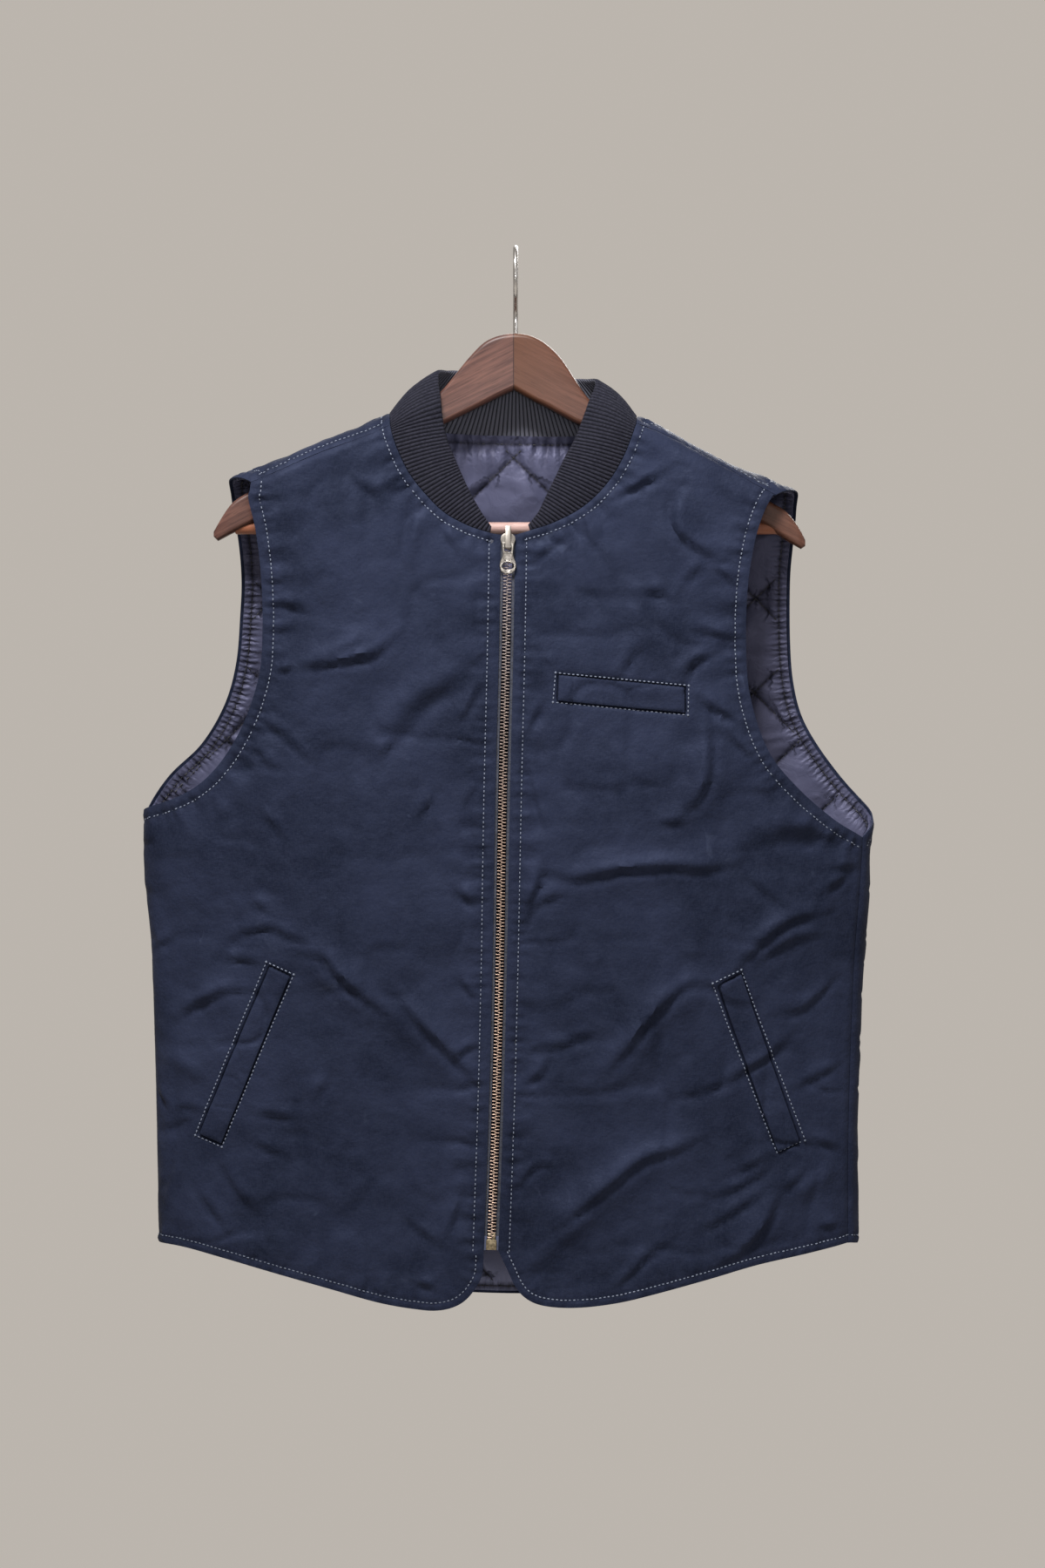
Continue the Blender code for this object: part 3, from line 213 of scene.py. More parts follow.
CREASE_KINDS = {
    # rise, width, share of the rise that dips beside it
    "soft": (2.2, 5.0, 1.0),
    "strong": (3.7, 5.8, 1.0),
    "broad": (4.2, 12.0, 0.9),
    "ridge": (3.2, 7.5, 0.0),
}
CREASES_RIGHT = {
    "strong": [
        [(-167, -318), (-143, -316), (-125, -313), (-106, -309), (-92, -297)],
        [(-253, -581), (-241, -572), (-227, -565), (-211, -561)],
        [(-164, -532), (-143, -536), (-134, -548), (-113, -566), (-97, -578)],
        [(-88, -566), (-70, -587), (-49, -608), (-32, -626)],
    ],
    "broad": [
        [(-92, -375), (-74, -347), (-51, -333), (-35, -319)],
    ],
    "soft": [
        [(-180, -320), (-169, -321)], [(-143, -309), (-121, -302), (-111, -298)],
        [(-180, -268), (-155, -277)], [(-76, -199), (-83, -236)], [(-56, -211), (-44, -231)],
        [(-122, -177), (-102, -190)], [(-190, -357), (-171, -372), (-153, -388)],
        [(-199, -374), (-185, -390), (-174, -395)], [(-44, -363), (-33, -345), (-26, -328)],
        [(-102, -386), (-90, -372)], [(-192, -425), (-176, -444)], [(-74, -434), (-60, -411)],
        [(-197, -493), (-187, -502)],
        [(-220, -530), (-206, -518), (-183, -514), (-171, -520), (-148, -527)],
        [(-271, -528), (-258, -521)], [(-220, -537), (-204, -538), (-190, -540)],
        [(-271, -638), (-261, -651)], [(-261, -658), (-251, -650), (-236, -650)],
        [(-267, -666), (-241, -655)], [(-261, -725), (-251, -690)],
        [(-239, -711), (-230, -724), (-218, -740)], [(-222, -689), (-209, -712), (-195, -726)],
        [(-47, -612), (-37, -605), (-28, -603)], [(-151, -643), (-139, -624)],
        [(-195, -652), (-180, -654), (-162, -656)], [(-197, -675), (-183, -681), (-174, -684)],
        [(-42, -552), (-31, -566)], [(-44, -485), (-32, -495)], [(-53, -752), (-49, -739), (-40, -713)],
        [(-81, -732), (-60, -750)], [(-74, -780), (-60, -784)],
    ],
    "ridge": [
        [(-268, -615), (-253, -619), (-236, -630)],
    ],
}
ARMHOLE_FRONT_RIGHT = [
    # across, height
    (-199.5, -185), (-200.5, -192), (-195, -216), (-191, -250), (-190, -290), (-193, -326),
    (-207, -366), (-229, -398), (-256, -416),
]
RIGHT_POCKET = [(-237.5, -668.9), (-184, -542.9), (-169.3, -550.1), (-221.2, -675.8)]
HEM_RIGHT = [
    # across, height
    (-24.7, -772), (-28.5, -781.5), (-36, -791.5), (-45, -797.5), (-57, -800.5), (-72, -800),
    (-102, -795), (-142, -784), (-182, -773), (-222, -762), (-254, -754.5),
]
CREST_ASIDE, DIP_ASIDE, DIP_WIDTH = 0.5, 0.45, 0.6
LUMPS = [
    # height, size, seed
    (1.3, 55, 0), (0.9, 24, 1), (0.3, 9, 4),
]
FURROWS = [
    # depth, half width as a share of a lump, lump size, size of the deeper places, seeds of both
    (4.6, 0.22, 38, 90, 2, 3), (2.0, 0.20, 21, 60, 5, 6),
]
PUCKERS = [
    # height, wave length, reach from the row, distance from the edge to its full height, seed
    (0.55, 8.5, 7, 3, 0), (0.7, 21, 19, 10, 9),
]
GROOVES = {
    # depth, half width, painted shade, half width of the painted shade, distance of the lines that hold it
    "mouth": (1.3, 1.2, 0.75, 1.0, 1.4),
    "row": (0.75, 1.4, 0.35, 1.3, 1.7),
}
EDGE_STEP, FINE_STEP, COARSE_STEP, FINE_BAND = 2.4, 2.5, 3.7, 24.0
SEEN_STEP, SEEN_BAND, ROW_STEP, WELT_STEP, MOUTH_CLEAR = 2.1, 62.0, 1.5, 1.8, 0.7
GRID_ROW, GRID_SHAKE, GRID_CLEAR = 0.87, 0.16, 0.62
EDGE_STILL, EDGE_SWELL, EDGE_SWELL_AT, EDGE_SWELL_HALF = 20, 0.35, 4, 2.6
EDGE_DROP, EDGE_DROP_HALF = 0.5, 0.9
EDGES = {
    # kind of edge: how far in its stitches run, how strongly they pucker, how far in the lining ends
    "placket": (8.4, 1.2, 8.0),
    "hem": (5.8, 1.3, 2.3),
    "arm": (8.0, 1.4, 2.3),
    "neck": (5.8, 2.0, 0.5),
    "shoulder": (0.0, 0.0, 0.3),
    "side": (0.0, 0.0, 0.3),
    "shoulder_back": (5.0, 0.7, 0.3),
}


def column(rows, n):
    """One column of a table."""
    return np.array([row[n] for row in rows], float)


def rounded(rows, key, value, at):
    """Read one column of a table at the given keys, with a smooth curve through its rows."""
    keys, values = column(rows, key), column(rows, value)
    if keys[0] > keys[-1]:
        keys, values = keys[::-1], values[::-1]
    slopes = np.gradient(values, keys)
    at = np.clip(at, keys[0], keys[-1])
    n = np.clip(np.searchsorted(keys, at) - 1, 0, len(keys) - 2)
    width = keys[n + 1] - keys[n]
    t = (at - keys[n]) / width
    return (
        (2 * t**3 - 3 * t**2 + 1) * values[n]
        + (t**3 - 2 * t**2 + t) * width * slopes[n]
        + (3 * t**2 - 2 * t**3) * values[n + 1]
        + (t**3 - t**2) * width * slopes[n + 1]
    )


def eased(t):
    """A soft start and stop from 0 to 1."""
    t = np.clip(t, 0, 1)
    return t * t * (3 - 2 * t)


def hump(gap, width):
    """A smooth hump: 1 where the gap is none, and near 0 from twice the width on."""
    return np.exp(-((gap / width) ** 2))


def fading(along, end, power):
    """Full along the middle of a line and fading towards both its ends."""
    return np.sin(math.pi * np.clip(along, end, 1 - end)) ** power


def unit(ways):
    """The same ways, each 1 long."""
    return ways / np.linalg.norm(ways, axis=-1, keepdims=True)


def walked_along(line):
    """How far along a line each of its points is."""
    return np.concatenate([[0], np.cumsum(np.linalg.norm(np.diff(line, axis=0), axis=1))])


SECTION_SHARE = np.sin(np.linspace(0, math.pi / 2, 4000))
SECTION_OUT = CHEST_DEPTH * (1 - SECTION_SHARE**SECTION_POWER) ** (1 / SECTION_POWER)
SECTION_ROUND = walked_along(np.stack([CHEST_HALF * SECTION_SHARE, SECTION_OUT], -1))
SIDE = SECTION_ROUND[-1]
QUARTER = math.pi / 2 * math.hypot(SHOULDER_ROUND, SHOULDER_DEPTH) / math.sqrt(2)


def sweep(x, z):
    """How far forward the shoulders are carried by the hanger's arms."""
    return -ARM_SWEEP * (x / ARM_REACH) ** 2 * eased((z - SWEEP_FROM) / SWEEP_OVER)


def level_span(height):
    """The middle and the half width of the vest at a height."""
    height = np.minimum(height, RINGS[1][0])
    right, left = rounded(RINGS, 0, 1, height), rounded(RINGS, 0, 2, height)
    return (left + right) / 2, (left - right) / 2


def surface(side, a, v):
    """Points of the vest's outside, in mm. a runs round the level section from the middle of a
    panel, v runs up the cloth and over the shoulder."""
    past = np.abs(a) > SIDE
    round_ = np.where(past, 2 * SIDE - np.abs(a), np.abs(a))
    share = np.sign(a) * np.interp(round_, SECTION_ROUND, SECTION_SHARE)
    middle, half = level_span(v)
    x = middle + half * share
    start = rounded(RIDGE, 0, 1, x) - SHOULDER_ROUND
    turn = math.pi / 2 * np.clip((v - start) / QUARTER, 0, 2)
    z = np.where(v < start, v, start + SHOULDER_ROUND * np.sin(turn))
    facing = side * np.where(past, -1, 1) * np.where(turn > math.pi / 2, -1, 1)
    depth = np.where(facing == FRONT, rounded(RINGS, 0, 3, z), rounded(RINGS, 0, 4, z))
    bow = (1 - np.abs(share) ** SECTION_POWER) ** (1 / SECTION_POWER)
    return np.stack([x, facing * depth * bow * np.abs(np.cos(turn)) + sweep(x, z), z], -1)


def spot(x, z, over=False):
    """The place (a, v) on a panel that lies at x and z; over is past the shoulder's ridge."""
    x, z = np.asarray(x, float), np.asarray(z, float)
    middle, half = level_span(z)
    share = (x - middle) / half
    a = np.sign(share) * np.interp(np.abs(share), SECTION_SHARE, SECTION_ROUND)
    start = rounded(RIDGE, 0, 1, x) - SHOULDER_ROUND
    turn = np.arcsin(np.clip((z - start) / SHOULDER_ROUND, 0, 1))
    if over:
        turn = math.pi - turn
    return np.stack([a, np.where(z < start, z, start + QUARTER * turn / (math.pi / 2))], -1)


def outward(side, a, v, step=0.8):
    """The way out of the cloth at each place of a panel."""
    along = surface(side, a + step, v) - surface(side, a - step, v)
    up = surface(side, a, v + step) - surface(side, a, v - step)
    return unit(np.cross(along, up) * -side)


def along_line(points, line):
    """Each point's distance to a bent line, positive on its left, and how far along it is, 0 to 1."""
    lengths = np.linalg.norm(np.diff(line, axis=0), axis=1)
    best, along, left = np.full(len(points), 1e9), np.zeros(len(points)), np.ones(len(points))
    walked = 0.0
    for start, end, length in zip(line[:-1], line[1:], lengths):
        way = (end - start) / length
        rest = points - start
        t = np.clip(rest @ way, 0, length)
        gap = np.linalg.norm(rest - t[:, None] * way, axis=1)
        nearer = gap < best
        best[nearer] = gap[nearer]
        along[nearer] = (walked + t[nearer]) / lengths.sum()
        left[nearer] = np.sign(way[0] * rest[nearer, 1] - way[1] * rest[nearer, 0])
        walked += length
    return best * left, along


def smooth(points, steps=12):
    """A smooth curve through the given points, with so many steps from each to the next."""
    points = np.asarray(points, float)
    ends = np.concatenate([[2 * points[0] - points[1]], points, [2 * points[-1] - points[-2]]])
    t = np.linspace(0, 1, steps, endpoint=False)[:, None]
    fine = []
    for p0, p1, p2, p3 in zip(ends, ends[1:], ends[2:], ends[3:]):
        fine.append(
            0.5 * (2 * p1 + (p2 - p0) * t + (2 * p0 - 5 * p1 + 4 * p2 - p3) * t**2
                   + (3 * p1 - p0 - 3 * p2 + p3) * t**3)
        )
    return np.concatenate(fine + [points[-1:]])


def stepped(line, spacing):
    """A line with its points at even steps of about the given length."""
    walked = walked_along(line)
    at = np.linspace(0, walked[-1], max(2, round(walked[-1] / spacing) + 1))
    return np.stack([np.interp(at, walked, line[:, n]) for n in range(line.shape[1])], -1)


def inside(outline, points):
    """Which points lie inside a closed outline."""
    x, y = points[:, 0], points[:, 1]
    found = np.zeros(len(points), bool)
    for (x0, y0), (x1, y1) in zip(outline, np.roll(outline, -1, axis=0)):
        if y0 != y1:
            found ^= ((y0 > y) != (y1 > y)) & (x < x0 + (y - y0) / (y1 - y0) * (x1 - x0))
    return found


def nearest_rows(points, line):
    """For each point, the number of the line's nearest point."""
    tree = KDTree(len(line))
    for n, (a, v) in enumerate(line):
        tree.insert((a, v, 0), n)
    tree.balance()
    return np.array([tree.find((a, v, 0))[1] for a, v in points], int)


def nearest(points, line):
    """Each point's distance to the points of a finely stepped line, and how far along that is."""
    rows = nearest_rows(points, line)
    return np.linalg.norm(points - line[rows], axis=-1), walked_along(line)[rows]


def signed_area(outline):
    """The area inside a closed outline, negative where it runs clockwise."""
    ahead = np.roll(outline, -1, axis=0)
    return (outline[:, 0] * ahead[:, 1] - ahead[:, 0] * outline[:, 1]).sum() / 2


def inset(outline, by):
    """A closed outline moved inwards, by one distance or by its own at each point."""
    way = unit(np.roll(outline, -1, axis=0) - np.roll(outline, 1, axis=0))
    inwards = np.stack([-way[:, 1], way[:, 0]], -1) * np.sign(signed_area(outline))
    return outline + inwards * np.reshape(by, (-1, 1))


def beside(line, by):
    """An open line moved sideways, to its left where by is positive."""
    way = unit(np.gradient(line, axis=0))
    return line + np.stack([-way[:, 1], way[:, 0]], -1) * by


def noise(points, size, seed, cells=89):
    """Smooth random heights from -1 to 1, in lumps of the given size."""
    table = np.random.default_rng(seed).uniform(-1, 1, (cells, cells))
    at = points / size + 17.3
    cell = np.floor(at).astype(int)
    t = at - cell
    t = t**3 * (t * (6 * t - 15) + 10)
    (i, j), (k, m) = (cell % cells).T, ((cell + 1) % cells).T
    low = table[i, j] * (1 - t[:, 0]) + table[k, j] * t[:, 0]
    high = table[i, m] * (1 - t[:, 0]) + table[k, m] * t[:, 0]
    return low * (1 - t[:, 1]) + high * t[:, 1]


def ripple(walked, length, seed):
    """Uneven waves along a seam, -1 to 1."""
    phase = np.random.default_rng(seed).uniform(0, 6.28, 3)
    wave = np.sin(walked * 2 * math.pi / length + 1.9 * np.sin(walked / length / 2.3 + phase[0]) + phase[1])
    return wave * (0.65 + 0.35 * np.sin(walked / length / 1.7 + phase[2]))


def folded(side, places):
    """How far the largest folds lift the cloth, as in the solids."""
    height = np.zeros(len(places))
    for fold_side, *corners, rise, width in BIG_FOLDS:
        if fold_side == side:
            gap, along = along_line(places, spot(*np.array(corners, float).T))
            height += rise * hump(gap, width) * fading(along, 0.06, 0.6)
    return height


def creased(places, creases):
    """Listed creases: a soft crest on a line's left and a dip on its right."""
    height = np.zeros(len(places))
    for kind, lines in creases.items():
        rise, width, dip = CREASE_KINDS[kind]
        for line in lines:
            flat = smooth(spot(*np.array(line, float).T), 4)
            near = np.all((places > flat.min(0) - 4 * width) & (places < flat.max(0) + 4 * width), axis=1)
            if near.any():
                gap, along = along_line(places[near], flat)
                crest = hump(gap - CREST_ASIDE * width, width)
                under = dip * hump(gap + DIP_ASIDE * width, DIP_WIDTH * width)
                height[near] += rise * (crest - under) * fading(along, 0.04, 0.7)
    return height


def lift(cut, places):
    """How far a panel's outside stands off the plain form: folds, creases, crumple and puckers."""
    side, seed = cut["side"], cut["seed"]
    edge, _ = nearest(places, cut["edge"])
    crumple = sum(rise * noise(places, size, seed + own) for rise, size, own in LUMPS)
    for depth, half, size, deeper, own, other in FURROWS:
        furrow = np.maximum(0, half - np.abs(noise(places, size, seed + own)))
        crumple -= depth * furrow * (1 + noise(places, deeper, seed + other))
    height = creased(places, cut["creases"]) + crumple
    height = folded(side, places) + height * eased(edge / EDGE_STILL)
    for n, (line, pucker) in enumerate(cut["rows"]):
        gap, walked = nearest(places, line)
        for rise, length, reach, off_edge, own in PUCKERS:
            wave = ripple(walked, length, seed + own + n)
            height += pucker * rise * wave * hump(gap, reach) * eased(edge / off_edge)
        height -= GROOVES["row"][0] * hump(gap, GROOVES["row"][1])
    for line in cut["mouths"]:
        height -= GROOVES["mouth"][0] * hump(nearest(places, line)[0], GROOVES["mouth"][1])
    height += EDGE_SWELL * hump(edge - EDGE_SWELL_AT, EDGE_SWELL_HALF)
    return height - EDGE_DROP * hump(edge, EDGE_DROP_HALF)


def net(outline, lines, fine, coarse, seed, seen=None):
    """An outline filled with triangles: rows beside its edge and the lines, then a loose grid that is
    closer near the edge, and closest near the lines that are most seen."""
    held = np.concatenate([outline, *lines])
    rng = np.random.default_rng(seed)
    low, high = outline.min(0), outline.max(0)
    kept = []
    for spacing in (SEEN_STEP, fine, coarse):
        a, v = np.meshgrid(np.arange(low[0], high[0], spacing),
                           np.arange(low[1], high[1], spacing * GRID_ROW))
        a = a + np.where(np.arange(len(a)) % 2, spacing / 2, 0)[:, None]
        grid = np.stack([a.ravel(), v.ravel()], -1)
        grid += rng.uniform(-GRID_SHAKE, GRID_SHAKE, grid.shape) * spacing
        grid = grid[inside(outline, grid)]
        wanted = np.full(len(grid), coarse)
        wanted[nearest(grid, outline)[0] < FINE_BAND] = fine
        if seen is not None:
            wanted[nearest(grid, seen)[0] < SEEN_BAND] = SEEN_STEP
        clear = nearest(grid, held)[0] > GRID_CLEAR * min(fine, spacing)
        kept.append(grid[(wanted == spacing) & clear])
    points = np.concatenate([held, *kept])
    face = list(range(len(outline)))
    if signed_area(outline) < 0:
        face.reverse()
    flat = [Vector((float(p[0]), float(p[1]))) for p in points]
    found, _, triangles, *_ = geometry.delaunay_2d_cdt(flat, [], [face], 1, 1e-4)
    found, triangles = np.array([tuple(p) for p in found]), np.array([tuple(t) for t in triangles])
    used = np.unique(triangles)
    renumber = np.full(len(found), -1)
    renumber[used] = np.arange(len(used))
    return found[used], renumber[triangles]


def facing_out(side, triangles, places):
    """The triangles of a net turned so that they face out of the vest."""
    a, b, c = (places[triangles[:, n]] for n in range(3))
    turn = (b[:, 0] - a[:, 0]) * (c[:, 1] - a[:, 1]) - (b[:, 1] - a[:, 1]) * (c[:, 0] - a[:, 0])
    return np.where((np.sign(turn) != -side)[:, None], triangles[:, ::-1], triangles)


def made_of(name, points, faces, look, sharp=50):
    """A mesh object from points in mm, shaded smooth up to the given angle."""
    mesh = bpy.data.meshes.new(name)
    mesh.from_pydata((np.asarray(points) * MM).tolist(), [], [list(map(int, f)) for f in faces])
    mesh.materials.append(look)
    mesh.shade_smooth()
    mesh.set_sharp_from_angle(angle=math.radians(sharp))
    made = bpy.data.objects.new(name, mesh)
    bpy.context.scene.collection.objects.link(made)
    return made


def wall(name, near, far, triangles, look, sharp=50):
    """A closed wall of cloth between two nets that share their triangles."""
    count = len(near)
    edges = np.concatenate([triangles[:, [0, 1]], triangles[:, [1, 2]], triangles[:, [2, 0]]])
    codes, back = edges[:, 0] * count + edges[:, 1], edges[:, 1] * count + edges[:, 0]
    rim = edges[~np.isin(codes, back)]
    sides = np.stack([rim[:, 1], rim[:, 0], rim[:, 0] + count, rim[:, 1] + count], -1)
    faces = [*triangles, *(triangles[:, ::-1] + count), *sides]
    return made_of(name, np.concatenate([near, far]), faces, look, sharp)


def shader(name, roughness, metallic=0.0):
    """A new material with its node tree and its surface shader."""
    made = bpy.data.materials.new(name)
    made.use_nodes = True
    principled = made.node_tree.nodes["Principled BSDF"]
    principled.inputs["Roughness"].default_value = roughness
    principled.inputs["Metallic"].default_value = metallic
    return made, made.node_tree, principled


def grain(tree, size, detail=3.0, stretch=(1, 1, 1), distort=0.0):
    """A noise value over the object, with lumps of the given size in mm."""
    place = tree.nodes.new("ShaderNodeTexCoord")
    mapping = tree.nodes.new("ShaderNodeMapping")
    mapping.inputs["Scale"].default_value = [s / (size * MM) for s in stretch]
    texture = tree.nodes.new("ShaderNodeTexNoise")
    texture.inputs["Scale"].default_value = 1.0
    texture.inputs["Detail"].default_value = detail
    texture.inputs["Distortion"].default_value = distort
    tree.links.new(place.outputs["Object"], mapping.inputs["Vector"])
    tree.links.new(mapping.outputs["Vector"], texture.inputs["Vector"])
    return texture.outputs["Fac"]


def spread(tree, value, low, high, to_low=0.0, to_high=1.0):
    """A value stretched so that low and high become the given ends."""
    node = tree.nodes.new("ShaderNodeMapRange")
    tree.links.new(value, node.inputs["Value"])
    for name, number in (("From Min", low), ("From Max", high), ("To Min", to_low), ("To Max", to_high)):
        node.inputs[name].default_value = number
    return node.outputs["Result"]


def maths(tree, kind, first, second=0.0):
    """Two values or numbers worked into one."""
    node = tree.nodes.new("ShaderNodeMath")
    node.operation = kind
    for socket, value in zip(node.inputs, (first, second)):
        if isinstance(value, bpy.types.NodeSocket):
            tree.links.new(value, socket)
        else:
            socket.default_value = value
    return node.outputs[0]


def blended(tree, factor, first, second):
    """One colour turning into another; each is a colour or an earlier blend."""
    node = tree.nodes.new("ShaderNodeMix")
    node.data_type = "RGBA"
    tree.links.new(factor, node.inputs[0])
    for socket, value in ((node.inputs[6], first), (node.inputs[7], second)):
        if isinstance(value, bpy.types.NodeSocket):
            tree.links.new(value, socket)
        else:
            socket.default_value = (*value, 1)
    return node.outputs[2]


def bumped(tree, principled, *layers):
    """Relief in the surface: each layer is a value and its height in mm."""
    normal = None
    for value, height in layers:
        bump = tree.nodes.new("ShaderNodeBump")
        bump.inputs["Distance"].default_value = height * MM
        tree.links.new(value, bump.inputs["Height"])
        if normal:
            tree.links.new(normal, bump.inputs["Normal"])
        normal = bump.outputs["Normal"]
    tree.links.new(normal, principled.inputs["Normal"])


def painted(made, name, values):
    """Keep a number for each point of a mesh, for its material to read."""
    made.data.attributes.new(name, "FLOAT", "POINT").data.foreach_set("value", np.asarray(values, float))


def paint(tree, name):
    """The number that was kept under this name."""
    node = tree.nodes.new("ShaderNodeAttribute")
    node.attribute_name = name
    return node.outputs["Fac"]


def waxed_cotton():
    """Navy cotton under wax: cloudy colour, a soft bluish shine, rubbed pale spots, a fine weave; painted
    shade in its grooves.
    """
    look, tree, principled = shader("waxed_cotton", 0.55)
    clouds = grain(tree, 75, 4.0, distort=0.6)
    patches = grain(tree, 16, 5.0)
    rubbed = spread(tree, grain(tree, 26, 9.0, distort=1.6), 0.68, 0.82)
    threads = maths(tree, "ADD", grain(tree, 0.9, 1.0, (1, 1, 0.25)), grain(tree, 0.9, 1.0, (0.25, 1, 1)))
    cloudy = spread(tree, clouds, 0.35, 0.65)
    colour = blended(tree, cloudy, (0.0052, 0.0070, 0.0150), (0.0108, 0.0138, 0.0285))
    colour = blended(tree, spread(tree, patches, 0.42, 0.72, 0.0, 0.4), colour, (0.0142, 0.0180, 0.0350))
    colour = blended(tree, maths(tree, "MULTIPLY", rubbed, 0.4), colour, (0.0340, 0.0420, 0.0700))
    colour = blended(tree, spread(tree, threads, 0.85, 1.15, 0.0, 0.20), colour, (0.0180, 0.0215, 0.0370))
    # Painted shade: near black in the grooves round the welts and along the rows of stitches.
    colour = blended(tree, paint(tree, "groove_shade"), colour, (0.0012, 0.0016, 0.0035))
    tree.links.new(colour, principled.inputs["Base Color"])
    tree.links.new(spread(tree, patches, 0.3, 0.7, 0.70, 0.56), principled.inputs["Roughness"])
    principled.inputs["Specular IOR Level"].default_value = 0.09
    principled.inputs["Specular Tint"].default_value = (0.50, 0.60, 1.0, 1)
    bumped(tree, principled, (grain(tree, 10, 4.0), 0.9), (grain(tree, 2.5, 2.0), 0.15), (threads, 0.05))
    return look


WAXED = waxed_cotton()


def seam_shoulder(from_x, to_x, side):
    """A shoulder's seam on the front or the back, from one place across to another."""
    x = np.linspace(from_x, to_x, 7)
    line = spot(x, rounded(RIDGE, 0, 1, x) - rounded(SHOULDER_SEAM, 0, 1, x), over=side == BACK)
    line[:, 1] -= HALF_GAP
    return line


def seam_side(left, side, top):
    """A side seam, from the underarm down to the hem."""
    a = np.interp(SEAM_BEFORE_LEFT, SECTION_SHARE, SECTION_ROUND) if left else SIDE + SEAM_PAST_RIGHT
    if side == BACK:
        a = 2 * SIDE - a
    a = (a - HALF_GAP) * (1 if left else -1)
    v = np.linspace(top, HEM_SIDE, 9)
    return np.stack([np.full(len(v), a), v], -1)


def collar_seams():
    """The collar's seams on the right front, the back and the left front, as (side, line)."""
    first, last = (n for n, row in enumerate(COLLAR_ROWS) if row[0] == SEAM)
    seams = []
    for side, rows in ((FRONT, COLLAR_ROWS[: first + 1]), (BACK, COLLAR_ROWS[first : last + 1]),
                       (FRONT, COLLAR_ROWS[last:])):
        line = []
        for part, x, z, *_ in rows:
            if part == SEAM:
                z = float(rounded(RIDGE, 0, 1, x) - rounded(SHOULDER_SEAM, 0, 1, x))
            line.append(spot(x, z, over=side == BACK and part == SEAM))
        seams.append((side, np.array(line)))
    return seams


def table_line(rows):
    """A table's places across and up, as places on a panel."""
    return spot(column(rows, 0), column(rows, 1))


def sewn_rows(lines, leftwards):
    """Rows of stitches inside the lines of an outline; each stops where it meets another row."""
    rows = []
    for n, (line, kind) in enumerate(lines):
        offset, pucker, _ = EDGES[kind]
        if offset:
            row = beside(stepped(line, ROW_STEP), offset * leftwards)
            clear = np.ones(len(row), bool)
            for m, (other, other_kind) in enumerate(lines):
                if m != n:
                    meeting = 0.85 * max(EDGES[other_kind][0], 1.0) - 0.25
                    clear &= nearest(row, stepped(other, ROW_STEP))[0] > meeting
            if clear.any():
                rows.append((row[clear], pucker))
    return rows


def cut_panel(side, lines, leftwards, creases, seed, mouths=()):
    """A panel: its outline from lines that follow each other, its rows of stitches, its creases
    and the pressed grooves round its pockets."""
    sides = [stepped(line, EDGE_STEP)[:-1] for line, _ in lines]
    outline = np.concatenate(sides)
    ends = np.concatenate([np.full(len(part), EDGES[kind][2]) for part, (_, kind) in zip(sides, lines)])
    apart = np.linalg.norm(outline - np.roll(outline, 1, axis=0), axis=1) > 0.5
    outline = outline[apart]
    openings = [stepped(line, 2.0) for line, kind in lines if kind in ("neck", "arm")]
    return {
        "side": side,
        "outline": outline,
        "edge": stepped(np.concatenate([outline, outline[:1]]), 1.0),
        "lining_in": ends[apart],
        "neck": np.concatenate([stepped(line, 1.0) for line, kind in lines if kind == "neck"]),
        "openings": np.concatenate(openings),
        "rows": sewn_rows(lines, leftwards),
        "mouths": mouths,
        "creases": creases,
        "seed": seed,
    }


def shell(name, cut, node_name):
    """A panel of waxed cotton with its thickness, and painted shade kept along its pressed grooves."""
    _, _, mouth_shade, mouth_half, mouth_aside = GROOVES["mouth"]
    _, _, row_shade, row_half, row_aside = GROOVES["row"]
    lines = []
    for line in cut["mouths"]:
        lines += [line, inset(line, mouth_aside), inset(line, -mouth_aside)]
    for row, _ in cut["rows"]:
        row = stepped(row, EDGE_STEP)
        lines += [row, beside(row, row_aside), beside(row, -row_aside)]
    lines = [line[inside(cut["outline"], line) & (nearest(line, cut["edge"])[0] > 1.0)] for line in lines]
    places, triangles = net(cut["outline"], lines, FINE_STEP, COARSE_STEP, cut["seed"])
    triangles = facing_out(cut["side"], triangles, places)
    out = outward(cut["side"], *places.T)
    near = surface(cut["side"], *places.T) + out * lift(cut, places)[:, None]
    far = near - out * SHELL
    made = wall(name, near, far, triangles, WAXED)
    # Painted shade for the material: strongest in the mouths round the welts, weaker along the rows of
    # stitches.
    groove_shade = [mouth_shade * hump(nearest(places, line)[0], mouth_half) for line in cut["mouths"]]
    groove_shade += [row_shade * hump(nearest(places, row)[0], row_half) for row, _ in cut["rows"]]
    painted(made, "groove_shade", np.tile(np.max(groove_shade, axis=0), 2))
    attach(made, "vest")
    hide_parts(node_name)
    return made


def front_lines(left, armhole, hem, underarm):
    """The lines round a front, from the top of the zip down, round and back."""
    sign = 1 if left else -1
    z = np.linspace(ZIP_TOP, ZIP_FOOT, 23)
    placket = spot(rounded(ZIP_LINE, 0, 1, z) + sign * PLACKET_EDGE, z)
    tip, neck = SEAM_ENDS["left" if left else "right"]
    side_seam = seam_side(left, FRONT, underarm)
    collar = collar_seams()[2 if left else 0][1]
    collar = smooth(collar[::-1] if left else collar)
    arm = smooth(np.concatenate([table_line(armhole), side_seam[:1]]))
    bottom = smooth(np.concatenate([placket[-1:], table_line(hem), side_seam[-1:]]))
    shoulder = seam_shoulder(tip, neck, FRONT)
    return [
        (placket, "placket"),
        (bottom, "hem"),
        (side_seam[::-1], "side"),
        (np.concatenate([arm[::-1], shoulder[:1]]), "arm"),
        (shoulder, "shoulder"),
        (np.concatenate([collar[::-1], placket[:1]]), "neck"),
    ]


def welt_sides(corners, spacing):
    """The four sides of a pocket's welt, each in even steps from corner to corner."""
    corners = table_line(corners)
    return [stepped(np.array(pair), spacing) for pair in zip(corners, np.roll(corners, -1, axis=0))]


